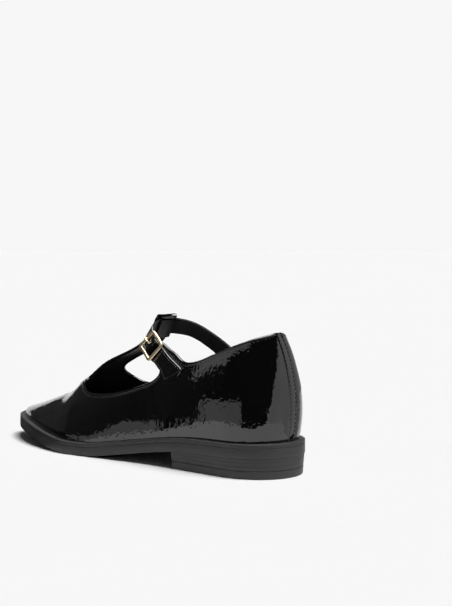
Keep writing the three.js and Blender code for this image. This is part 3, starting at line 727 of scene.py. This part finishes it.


# Creases, given one by one: side, centre (u, z), angle from level in degrees, half length, half
# width and depth. A negative depth is a ridge.
CREASES = table(
    "side u z angle length width depth",
    (OUTER, 96, 44, 74, 9, 2.2, 0.30),
    (OUTER, 90, 36, 60, 8, 2.0, 0.22),
    (OUTER, 103, 34, 105, 7, 2.0, 0.20),
    (OUTER, 100, 49, 62, 6, 1.8, -0.2),
    (OUTER, 168, 27, 140, 10, 3.0, 0.22),
    (OUTER, 178, 21, 150, 9, 2.6, 0.18),
    (OUTER, 12, 70, 100, 7, 2.0, 0.22),
    (OUTER, 8, 50, 80, 7, 1.8, 0.18),
    (INNER, 98, 42, 74, 9, 2.2, 0.3),
    (INNER, 108, 34, 110, 8, 2.0, 0.22),
    (INNER, 172, 24, 140, 10, 3.0, 0.22),
    (INNER, 10, 62, 96, 7, 2.0, 0.22),
)


def crease_depth(p, side):
    """How far the creases press the surface in at each point."""
    depth = np.zeros(len(p))
    for row in rows_of(CREASES):
        turn = math.radians(row["angle"])
        du, dz = p[:, 0] - row["u"], p[:, 2] - row["z"]
        along = du * math.cos(turn) + dz * math.sin(turn)
        across = -du * math.sin(turn) + dz * math.cos(turn)
        soft = np.exp(-((along / row["length"]) ** 2) - (across / row["width"]) ** 2)
        depth += np.where(side == row["side"], soft * row["depth"], 0)
    return depth


def clipped_shell(field, stations=300, around=84):
    """The last's surface as a mesh kept where field > 0, as parameters, faces and cut edges."""
    a = np.linspace(0, 1, stations + 1)
    t = np.linspace(0, 2, 2 * around + 1)
    grid_a, grid_t = (x.ravel() for x in np.meshgrid(a, t, indexing="ij"))
    value = field(surface(grid_a, grid_t, np.full(grid_a.shape, OUTER)))
    params = np.stack([grid_a, grid_t], 1)
    made, extra, faces, cuts = {}, [], [], []
    total = len(grid_a)

    def crossing(i, j):
        key = (min(i, j), max(i, j))
        if key not in made:
            share = value[i] / (value[i] - value[j])
            extra.append(params[i] + share * (params[j] - params[i]))
            made[key] = total + len(extra) - 1
        return made[key]

    cols = 2 * around + 1
    for i, j, k, m in grid_faces(stations + 1, cols):
        uncut = len({value[x] > 0 for x in (i, j, k, m)}) == 1
        for shape in [(i, j, k, m)] if uncut else [(i, j, k), (i, k, m)]:
            polygon, fresh = [], []
            for p, q in zip(shape, shape[1:] + shape[:1]):
                if value[p] > 0:
                    polygon.append(p)
                if (value[p] > 0) != (value[q] > 0):
                    polygon.append(crossing(p, q))
                    fresh.append(polygon[-1])
            if polygon:
                faces.append(tuple(polygon))
            if fresh:
                cuts.append(tuple(fresh))
    return np.concatenate([params, np.array(extra)]), faces, cuts


def compacted(faces):
    """The numbers of the points that faces use, and the faces counted among those."""
    used = np.unique(np.concatenate([np.array(f) for f in faces]))
    return used, [tuple(np.searchsorted(used, f)) for f in faces]


def chain(cuts):
    """Cut edges as one line of vertex numbers, from the back seam round to it again."""
    near = {}
    for p, q in cuts:
        near.setdefault(p, []).append(q)
        near.setdefault(q, []).append(p)
    ends = [p for p in near if len(near[p]) == 1]
    left = set(near)
    line, vertex = [], min(ends or near)
    while vertex is not None:
        line.append(vertex)
        left.discard(vertex)
        vertex = next((q for q in near[vertex] if q in left), None)
    return line


def blurred(values, reach, closed=True):
    """values averaged with their neighbours, so that a line has no kinks."""
    weights = np.exp(-0.5 * (np.arange(-3 * reach, 3 * reach + 1) / reach) ** 2)
    weights /= weights.sum()
    mode = "wrap" if closed else "edge"
    padded = np.pad(values, ((3 * reach, 3 * reach), (0, 0)), mode=mode)
    return np.stack([np.convolve(padded[:, k], weights, "valid") for k in range(values.shape[1])], 1)


def edge_frames(line, normals, field):
    """Along a closed line: centres, the way out of the leather in its surface, outwards."""
    spacing, reach = 0.9, 2
    centres, take = resampled(line, spacing, closed=True)
    out = unit(blurred(take(normals), reach))
    centres = blurred(centres, reach)
    along = run_of(centres, closed=True)
    away = unit(np.cross(along, out))
    if np.mean(field(centres + away)) > np.mean(field(centres - away)):
        away = -away
    lift = np.cross(away, along)
    return centres, away, unit(lift * np.sign(np.sum(lift * out, 1))[:, None])


# The folded edge's section: out past the edge, and up from the outer face.
FOLD = [
    (-1.5, -0.1), (-1.35, 0.16), (-0.8, 0.24), (-0.2, 0.16), (0.2, -0.1), (0.42, -0.5), (0.48, -0.95),
    (0.4, -1.4), (0.1, -1.8), (-0.5, -1.98), (-1.3, -1.9), (-1.5, -1.6),
]


# The stitches' spacing, length and thickness.
STITCHES, STRAP_STITCHES = (2.6, 2.0, 0.42), (2.2, 1.7, 0.4)


def stitch_row(centres, out, sizes, closed=False):
    """Small stitches along a line, each sunk into the leather at both ends."""
    spacing, length, thick = sizes
    spots, take = resampled(centres, spacing, closed)
    along, out = unit(take(run_of(centres, closed))), unit(take(out))
    side = np.cross(out, along)
    rings, sides = 5, 6
    turns = np.arange(sides) * 2 * math.pi / sides
    faces = grid_faces(rings, sides, wrap_cols=True) + end_caps(rings, sides)
    parts = []
    for c, t, n, b in zip(spots, along, out, side):
        points = []
        for x in np.linspace(-1, 1, rings):
            radius = thick / 2 * math.sqrt(max(0.12, 1 - 0.85 * x * x))
            middle = c + t * x * length / 2 + n * (0.3 - 0.55 * x * x) * thick
            points += [middle + radius * (math.cos(w) * b + math.sin(w) * n) for w in turns]
        parts.append((np.array(points), faces))
    return joined(parts)


def build_upper():
    field = leather_field()
    params, faces, cuts = clipped_shell(field)
    a, t = params.T
    side = np.full(len(a), OUTER)
    base = surface(a, t, side)
    out = outward(a, t, side)
    at_side = np.where(t > 1, INNER, OUTER)
    outside = base - out * crease_depth(base, at_side)[:, None]
    # The lasting edge turns down behind the welt's top.
    tuck, edge = 1.0, 1e-9
    outside[(t < edge) | (t > 2 - edge), 2] -= tuck
    kept, shell = compacted(faces)
    points = outside[kept]
    piece("upper_leather", points, [f[::-1] for f in shell], PATENT, "patent", ["upper"], merge_mm=0.05)

    lined = [f for f in faces if along_at(a[list(f)]).max() < ROOM_END]
    kept, shell = compacted(lined)
    inside = base - out * (WALL - 0.15)
    piece("upper_lining", inside[kept], shell, LINING, "lining", merge_mm=0.05)

    line = chain(cuts)
    centres, away, lift = edge_frames(base[line], out[line], field)
    piece("folded_edge", *tube(centres, away, lift, FOLD, closed=True), PATENT_EDGE, "patent", sharp_deg=60)
    from_edge = 2.3
    row = blurred(centres - away * from_edge, 3)
    piece("topline_stitching", *stitch_row(row, lift, STITCHES, closed=True), THREAD, "patent")


def build_back_strip():
    """The narrow strip over the back seam, with a row of stitches along each side."""
    half, proud, sunk, columns = 3.2, 0.55, 0.15, 13
    stitched, from_top = 0.68, 2.4
    climb = np.linspace(0, 1, 400)
    top = climb[np.argmax(surface(0.0, climb, OUTER)[:, 2] > COLLAR[0][1])]
    heights = np.linspace(0.01, top, 90)
    across = np.linspace(-1, 1, columns)
    shape = np.sqrt(np.clip(1 - across**6, 0, 1)) * proud - sunk
    points, normals, rows = [], [], {-1: [], 1: []}
    for s in heights:
        step = 0.01
        width = half / (np.linalg.norm(surface(step, s, OUTER) - surface(0.0, s, OUTER)) / step)
        points.append(off_last(across * width, np.full(columns, s), np.full(columns, OUTER), shape))
        normals.append(outward(0.0, s, OUTER))
        for edge in rows:
            rows[edge].append(off_last(edge * width * stitched, s, OUTER, proud * 0.8))
    flat = np.array(points).reshape(-1, 3)
    faces = grid_faces(len(heights), columns)
    p, q, r = (flat[i] for i in faces[len(faces) // 2][:3])
    if np.dot(np.cross(q - p, r - p), normals[len(normals) // 2]) < 0:
        faces = [f[::-1] for f in faces]
    piece("back_strip", flat, faces, PATENT_EDGE, "patent")
    for edge, name in ((-1, "back_stitching_inner"), (1, "back_stitching_outer")):
        line = np.array(rows[edge])
        kept = line[:, 2] < line[-1, 2] - from_top
        piece(name, *stitch_row(line[kept], np.array(normals)[kept], STITCHES), THREAD, "patent")


# ---- The strap, its loop and the buckle ----
ON_QUARTER = 0.3
OVER_BAR = BAR_LIFT + BAR_WIRE + GAP
# The strap's path; a row with a fixed half is laid square to its run, one with 0 as drawn.
STRAP_INNER = table(
    "upper_u upper_z lower_u lower_z lift half",
    (63.5, 65.3, 72.3, 56.6, ON_QUARTER, STRAP_HALF),
    (70, 70.6, 78.4, 62, ON_QUARTER, STRAP_HALF),
    (76.2, 75.6, 84, 66.6, ON_QUARTER, STRAP_HALF),
    (82, 80.1, 90, 70.8, 0.1, STRAP_HALF),
    (89.2, 84.9, 96.6, 75.4, -0.6, STRAP_HALF),
    (96.6, 89.2, 103, 79.2, -1.6, STRAP_HALF),
    (104.2, 92.6, 109.5, 81.6, -3, STRAP_HALF),
)
STRAP_IN_LOOP = (-13, -9, -5, -1, 3)
STRAP_OUTER = table(
    "upper_u upper_z lower_u lower_z lift half",
    (112.6, 91.2, 117.2, 80.4, -2.9, STRAP_TAPER),
    (106.6, 85.6, 111, 75.2, ON_QUARTER, STRAP_AT_BUCKLE),
    (100.4, 80.8, 105.8, 70.6, OVER_BAR, STRAP_AT_BUCKLE),
    (94.4, 76.6, 100.6, 66.6, ON_QUARTER, STRAP_AT_BUCKLE),
    (89.6, 73.7, 97, 63.9, ON_QUARTER, STRAP_TAPER),
    (84, 70.4, 92.6, 61, ON_QUARTER, STRAP_HALF),
    (76.6, 66.6, 88.6, 57.2, ON_QUARTER, 0),
    (71.4, 63.4, 87, 55.3, ON_QUARTER, 0),
    (73.6, 59.2, 86.4, 54.9, ON_QUARTER, 0),
)
BUCKLE_ROW = len(STRAP_INNER["lift"]) + len(STRAP_IN_LOOP) + 2
STRAP_STEPS = 10


def strap_row(side, row):
    edges = []
    for u, z in ((row["upper_u"], row["upper_z"]), (row["lower_u"], row["lower_z"])):
        a, s = on_last(side, 0, u, z)
        edges.append((off_last(a, s, side, row["lift"]), outward(a, s, side)))
    (top, top_out), (foot, foot_out) = edges
    if row["half"]:
        middle, across = (top + foot) / 2, unit(top - foot)
        top, foot = middle + across * row["half"], middle - across * row["half"]
    return top, foot, unit(top_out + foot_out)


def strap_rows():
    depth = -(STRAP_AT_LOOP + STRAP_THICK)
    rows = [strap_row(INNER, row) for row in rows_of(STRAP_INNER)]
    for l in STRAP_IN_LOOP:
        ends = [stem_place(l, depth, height) for height in (STRAP_HALF, -STRAP_HALF)]
        rows.append((*ends, stem_frame(l)[1]))
    rows += [strap_row(OUTER, row) for row in rows_of(STRAP_OUTER)]
    return [np.array(x) for x in zip(*rows)]


def centripetal(points, per_span, closed=False):
    """A centripetal Catmull-Rom line through points, as the CAD model runs its strap."""
    points = np.asarray(points, float)
    least = 1e-4
    if closed:
        ends = np.vstack([points[-1:], points, points[:2]])
    else:
        ends = np.vstack([2 * points[0] - points[1], points, 2 * points[-1] - points[-2]])
    out = []
    for p0, p1, p2, p3 in zip(ends, ends[1:], ends[2:], ends[3:]):
        d0, d1, d2 = (
            max(np.linalg.norm(q - p) ** 0.5, least) for p, q in ((p0, p1), (p1, p2), (p2, p3))
        )
        leaving = ((p1 - p0) / d0 - (p2 - p0) / (d0 + d1) + (p2 - p1) / d1) * d1
        arriving = ((p2 - p1) / d1 - (p3 - p1) / (d1 + d2) + (p3 - p2) / d2) * d1
        out += span(p1, p2, leaving, arriving, per_span)
    return np.array(out if closed else [*out, points[-1]])


def strap_section(width, low, high, round_edge, crown, count=10):
    """Across a strap layer: rounded edges and a slightly crowned upper face."""
    flat, middle, half = width - round_edge, (low + high) / 2, (high - low) / 2
    turns = np.linspace(-math.pi / 2, math.pi / 2, 5)
    right = [(flat + round_edge * math.cos(w), middle + half * math.sin(w)) for w in turns]
    face = [(x * flat, high + crown * (1 - x * x)) for x in np.linspace(1, -1, count)[1:-1]]
    left = [(-x, y) for x, y in right[::-1]]
    under = [(x * flat, low) for x in np.linspace(-1, 1, count)[1:-1]]
    return np.array(right + face + left + under)


def build_strap():
    """The strap's two layers and its stitches; returns its edges and lift for the buckle."""
    top, foot, out = (centripetal(x, STRAP_STEPS) for x in strap_rows())
    middle = (top + foot) / 2
    across = unit(top - foot)
    lift = unit(out - across * np.sum(out * across, 1, keepdims=True))
    half = np.linalg.norm(top - foot, axis=1) / 2
    # Each layer's underside and face, how far in its edges lie, their rounding and its crown.
    for name, low, high, inwards, round_edge, crown, mat, slot, stands_for in (
        ("strap_outside", 0.62, 1.6, 0.0, 0.9, 0.1, PATENT, "patent", ["ankle_strap"]),
        ("strap_lining", 0.0, 0.6, 0.22, 0.3, 0.0, LINING, "lining", []),
    ):
        rings = []
        for c, w, x, n in zip(middle, half, across, lift):
            section = strap_section(w - inwards, low, high, round_edge, crown)
            rings.append(c + section[:, :1] * x + section[:, 1:] * n)
        piece(name, *solid(rings), mat, slot, stands_for)

    from_edge = 1.7
    upper, lower = (
        middle + across * (sign * (half - from_edge))[:, None] + lift * STRAP_THICK for sign in (1, -1)
    )
    # The free end's row runs from the buckle round the tip and back.
    tip = slice((BUCKLE_ROW + 1) * STRAP_STEPS, -8)
    outline = blurred(np.vstack([upper[tip], lower[tip][::-1]]), 1, closed=False)
    outs = np.vstack([lift[tip], lift[tip][::-1]])
    piece("strap_end_stitching", *stitch_row(outline, outs, STRAP_STITCHES), THREAD, "patent")
    rest = slice(2, (len(STRAP_INNER["lift"]) - 1) * STRAP_STEPS)
    for name, line in (("strap_stitching_upper", upper), ("strap_stitching_lower", lower)):
        piece(name, *stitch_row(line[rest], lift[rest], STRAP_STITCHES), THREAD, "patent")
    return top, foot, lift


def folded_section():
    """The T-bar's fold and flap in section, as (out, up): outer lines, then inner ones."""
    behind = STRAP_AT_LOOP + STRAP_THICK + GAP + LOOP_THICK
    foot, bevel = STEM_END - 0.2, (0.3, 0.6)
    middle, radius = -(LOOP_SET + behind) / 2, (behind - LOOP_SET) / 2
    turns = np.linspace(0, math.pi, 15)
    fold = []
    for r, angles in ((radius, turns), (radius - LOOP_THICK, turns[::-1])):
        fold += [(middle + r * math.cos(w), foot + r * math.sin(w)) for w in angles]
    back, face = -behind, -behind + LOOP_THICK
    down = np.linspace(foot, bevel[1] - LOOP_FLAP, 8)
    outer = [(back, x) for x in down] + [(back + bevel[0], -LOOP_FLAP)]
    inner = [(face - bevel[0], -LOOP_FLAP)] + [(face, x) for x in down[::-1]]
    return fold, outer + inner


def loft_across(section, places):
    """A section carried across the T-bar, its ends closed in strips from the outer line to
    the inner one."""
    rings = []
    for l in places:
        origin, out, up = stem_frame(l)
        rings.append([origin + out * x + up * y for x, y in section])
    rows, cols = len(rings), len(section)
    faces = grid_faces(rows, cols, wrap_cols=True)
    strips = [(j, j + 1, cols - 2 - j, cols - 1 - j) for j in range(cols // 2 - 1)]
    faces += [q[::-1] for q in strips]
    faces += [tuple((rows - 1) * cols + j for j in q) for q in strips]
    points = np.array(rings).reshape(-1, 3)
    return points, oriented(points, faces)


def build_loop():
    """The T-bar's end, folded over and down behind the strap, and its flap in a darker copy of the lining,
    which paints the shade behind the strap.
    """
    fold, flap = folded_section()
    across = np.linspace(STEM_OUTER, STEM_INNER, 29)
    piece("t_bar_fold", *loft_across(fold, across), PATENT, "patent", ["t_bar_loop"])
    piece("t_bar_flap", *loft_across(flap, across), FLAP_PAINTED_SHADE, "lining", ["t_bar_loop"])


def buckle_frame(top, foot, lift):
    """The buckle's own axes: a place from them, and along, across and out of the strap."""
    def on_strap(row):
        i = row * STRAP_STEPS
        return (top[i] + foot[i]) / 2 - lift[i] * ON_QUARTER

    i = BUCKLE_ROW * STRAP_STEPS
    loop_end, tab_end = on_strap(BUCKLE_ROW - 1), on_strap(BUCKLE_ROW + 1)
    along = unit(loop_end - tab_end)
    across = unit(top[i] - foot[i])
    across = unit(across - along * np.dot(across, along))
    out = np.cross(along, across)
    if np.dot(out, lift[i]) < 0:
        out = -out
    centre = (loop_end + tab_end) / 2

    def at(p, q, height):
        return centre + along * p + across * q + out * height

    return at, along, across, out


def wire(line, out, wide, thick, closed=False, sides=12, square=4.0):
    """A wire along a line, its section between round and square."""
    along = run_of(line, closed)
    side = unit(np.cross(along, out))
    section = []
    for w in np.arange(sides) * 2 * math.pi / sides:
        c, s = math.cos(w), math.sin(w)
        r = 1 / (abs(c) ** square + abs(s) ** square) ** (1 / square)
        section.append((wide * r * c, thick * r * s))
    return tube(line, side, np.cross(side, along), section, closed)


def build_buckle(top, foot, lift):
    at, along, across, out = buckle_frame(top, foot, lift)
    half, side, height, corner = BUCKLE_HALF, BUCKLE_SIDE, BUCKLE_LIFT, BUCKLE_CORNER
    # The metal ring dips less in the middle of its long sides than the CAD model's.
    dip = BUCKLE_DIP * 0.45
    quarter = [
        (0, side, height - dip), (BUCKLE_FLAT, side, height - dip / 2), (half - corner, side, height),
        (half - 0.3 * corner, side - 0.3 * corner, height), (half, side - corner, height),
        (half, side - 2 * corner, height), (half, 0, height),
    ]
    ring = []
    for p, q, order in ((1, 1, 1), (1, -1, -1), (-1, -1, 1), (-1, 1, -1)):
        part = [(p * x, q * y, z) for x, y, z in quarter][::order]
        ring += part[1:] if ring else part
    line = centripetal([at(*p) for p in ring[:-1]], 10, closed=True)
    frame_wire = wire(line, out, 1.2, 0.85, closed=True, sides=18, square=2.3)
    piece("buckle_ring", *frame_wire, GILT, "gilt", ["buckle_frame"], sharp_deg=50)
    low = height - BUCKLE_DIP
    bar = [(0, -side, low), (0, 1 - side, BAR_LIFT), (0, side - 1, BAR_LIFT), (0, side, low)]
    line = centripetal([at(*p) for p in bar], 10)
    piece("buckle_middle_bar", *wire(line, along, 0.6, 0.6, square=2.4), GILT, "gilt")
    rest = height + BUCKLE_WIRE + GAP + PRONG_WIRE
    pin = [
        (PRONG_ROOT, BAR_LIFT), (PRONG_HOLE, height), (PRONG_BEND, rest - GAP), (half, rest),
        (half + PRONG_TIP, rest - PRONG_DROOP),
    ]
    line = centripetal([at(p, 0, z) for p, z in pin], 8)
    piece("buckle_pin", *wire(line, across, 0.55, 0.55, square=2.2), GILT, "gilt", ["buckle_prong"])


# ---- Floor, light and camera ----
# The sheet that the shoe stands on ends close by; the gloss sees it and not the floor round it.
SHEET = [(-1.0, 0.14), (-1.0, -0.1), (0.0, -0.15), (0.03, -0.09), (0.045, -0.058), (0.1, -0.04),
         (0.17, -0.01), (0.16, 0.11), (0.08, 0.25), (-0.01, 0.25), (-0.04, 0.14)]
FLOOR_REACH, FLOOR_DROP = 60.0, 0.00003
# Cards: corners as (azimuth, elevation), distance in metres and radiance.
CARDS = {
    "quarter_card": (((134, -3.4), (87, 1.5), (86, -14), (134, -14)), 1.0, 0.47),
    "heel_card": (
        ((31, -20), (31, -8.6), (26, 1.8), (17, 11.8), (1, 24.2), (-22, 33.6), (-60, 36), (-60, -20)),
        1.1, 0.72,
    ),
    "inner_card": (((-62, -25), (-62, 25), (-108, 25), (-108, -25)), 1.0, 0.4),
    "backdrop": (((-112, -4), (-112, 7), (-135, 11), (-158, 8), (-172, 4), (-172, -4)), 2.5, 0.9),
    "overhead_card": ([(azimuth, 56) for azimuth in range(0, 360, 45)], 1.4, 7.0),
}
# The collar's card hangs from an edge between two headings and leans back by a turn.
COLLAR_EDGE, COLLAR_TURN = ((139, 5), (70, 34.5)), 38
# The dim screen beside the toe, as (y, z) at SCREEN_X, and its radiance at two places along y.
SCREEN_X = 0.1
SCREEN = [(0.012, 0.015), (-0.028, 0.022), (-0.04, 0.014), (-0.058, 0.0), (-1.2, 0.0), (-1.2, 0.5),
          (-0.3, 0.26), (-0.012, 0.26), (-0.012, 0.062), (0.012, 0.056)]
SCREEN_RADIANCE, SCREEN_FADE = (0.03, 0.09), (-0.014, -0.16)
SEEN_WORLD, DIFFUSE_WORLD, GLOSS_WORLD = 0.93, 0.06, (0.02, 0.08)
CAMERA_AT, CAMERA_TOWARDS, CAMERA_PITCH, LENS = (0.568, 0.604, 0.1407), (-0.7328, -0.6804, 0), 2.59, 71.6


def flat_sheet(name, corners, height, mat):
    sheet = new_object(name, [(x, y, height) for x, y in corners], mat)
    return sheet


def build_stage():
    mat, tree, coords = material("pale_floor")
    tone = tinted(tree, noise(tree, coords, 2, 2), (0.926, 0.926, 0.926), (0.932, 0.932, 0.932))
    shaded(tree, {"Base Color": tone, "Roughness": 1.0, "Specular IOR Level": 0.0})
    flat_sheet("sheet", SHEET, 0, mat)
    around = [(x * FLOOR_REACH, y * FLOOR_REACH) for x, y in ((-1, -1), (1, -1), (1, 1), (-1, 1))]
    flat_sheet("floor", around, -FLOOR_DROP, mat).visible_glossy = False


def heading(azimuth, elevation):
    """The direction at an azimuth from the back of the heel round to the outer side."""
    az, el = math.radians(azimuth), math.radians(elevation)
    return Vector((math.sin(az) * math.cos(el), math.cos(az) * math.cos(el), math.sin(el)))


def card(name, corners, radiance, fade=None):
    """A lit card seen only in gloss; its radiance varies slightly, or fades along y."""
    mat, tree, coords = material(name)
    tree.nodes.remove(tree.nodes["Principled BSDF"])
    if fade:
        y = node(tree, "SeparateXYZ", {"Vector": coords})["Y"]
        strength = ramp(tree, y, *radiance, at=fade)
    else:
        strength = ramp(tree, noise(tree, coords, 2, 1), *radiance)
    glow = node(tree, "Emission", {"Strength": strength})
    join(tree, tree.nodes["Material Output"].inputs["Surface"], glow["Emission"])
    obj = new_object(name, [tuple(c) for c in corners], mat)
    obj.visible_camera = obj.visible_diffuse = False
    obj.visible_shadow = obj.visible_transmission = False


def even_card(name, directions, distance, radiance):
    """A card far from the shoe, at directions from its middle."""
    middle, varies = Vector((0, 0.05, 0.05)), 0.08
    corners = [middle + d * distance for d in directions]
    card(name, corners, (radiance * (1 - varies), radiance * (1 + varies)))


def build_cards():
    front, back = (heading(*at) for at in COLLAR_EDGE)
    above = front.cross(back).normalized()
    above = above if above.z > 0 else -above
    turn = math.radians(COLLAR_TURN)
    lifted = [(d * math.cos(turn) + above * math.sin(turn)).normalized() for d in (back, front)]
    even_card("collar_card", [front, back, *lifted], 1.2, 0.58)
    for name, (corners, distance, radiance) in CARDS.items():
        even_card(name, [heading(*at) for at in corners], distance, radiance)
    card("toe_screen", [(SCREEN_X, y, z) for y, z in SCREEN], SCREEN_RADIANCE, SCREEN_FADE)


def build_sun():
    sun = bpy.data.lights.new("overhead", "SUN")
    sun.energy, sun.angle = 3.14, math.radians(30)
    sun_object = bpy.data.objects.new("overhead", sun)
    sun_object.rotation_euler = (-heading(-5, 71)).to_track_quat("-Z", "Y").to_euler()
    sun_object.visible_glossy = False
    bpy.context.scene.collection.objects.link(sun_object)


def build_world():
    """White to the camera, dim to diffuse rays, and in gloss a faint glow over the toe."""
    world = bpy.data.worlds.new("studio")
    bpy.context.scene.world = world
    world.use_nodes = True
    tree = world.node_tree
    path = node(tree, "LightPath", {})
    coords = node(tree, "TexCoord", {})["Generated"]
    towards = node(tree, "VectorMath", {0: coords, 1: heading(170, 40)}, operation="DOT_PRODUCT")
    gloss = ramp(tree, towards["Value"], *GLOSS_WORLD, at=(0.6, 0.95))
    strengths = {"Factor": path["Is Glossy Ray"], "A": DIFFUSE_WORLD, "B": gloss}
    strength = node(tree, "Mix", strengths, data_type="FLOAT")["Result"]
    strengths = {"Factor": path["Is Camera Ray"], "A": strength, "B": SEEN_WORLD}
    strength = node(tree, "Mix", strengths, data_type="FLOAT")["Result"]
    background = tree.nodes["Background"].inputs
    join(tree, background["Strength"], strength)
    join(tree, background["Color"], (1, 1, 1, 1))


def build_camera():
    data = bpy.data.cameras.new("camera")
    data.lens, data.sensor_width, data.clip_end = LENS, 36, 200
    camera = bpy.data.objects.new("camera", data)
    bpy.context.scene.collection.objects.link(camera)
    camera.location = CAMERA_AT
    pitch = math.radians(CAMERA_PITCH)
    view = Vector(CAMERA_TOWARDS).normalized() * math.cos(pitch) + Vector((0, 0, -math.sin(pitch)))
    camera.rotation_euler = view.to_track_quat("-Z", "Y").to_euler()
    bpy.context.scene.camera = camera


build_camera()
build_stage()
build_sun()
build_cards()
build_world()
build_sole()
build_upper()
build_back_strip()
strap = build_strap()
build_loop()
build_buckle(*strap)

bpy.context.scene.view_settings.view_transform = "Standard"
bpy.context.scene.view_settings.look = "None"
bpy.context.view_layer.update()
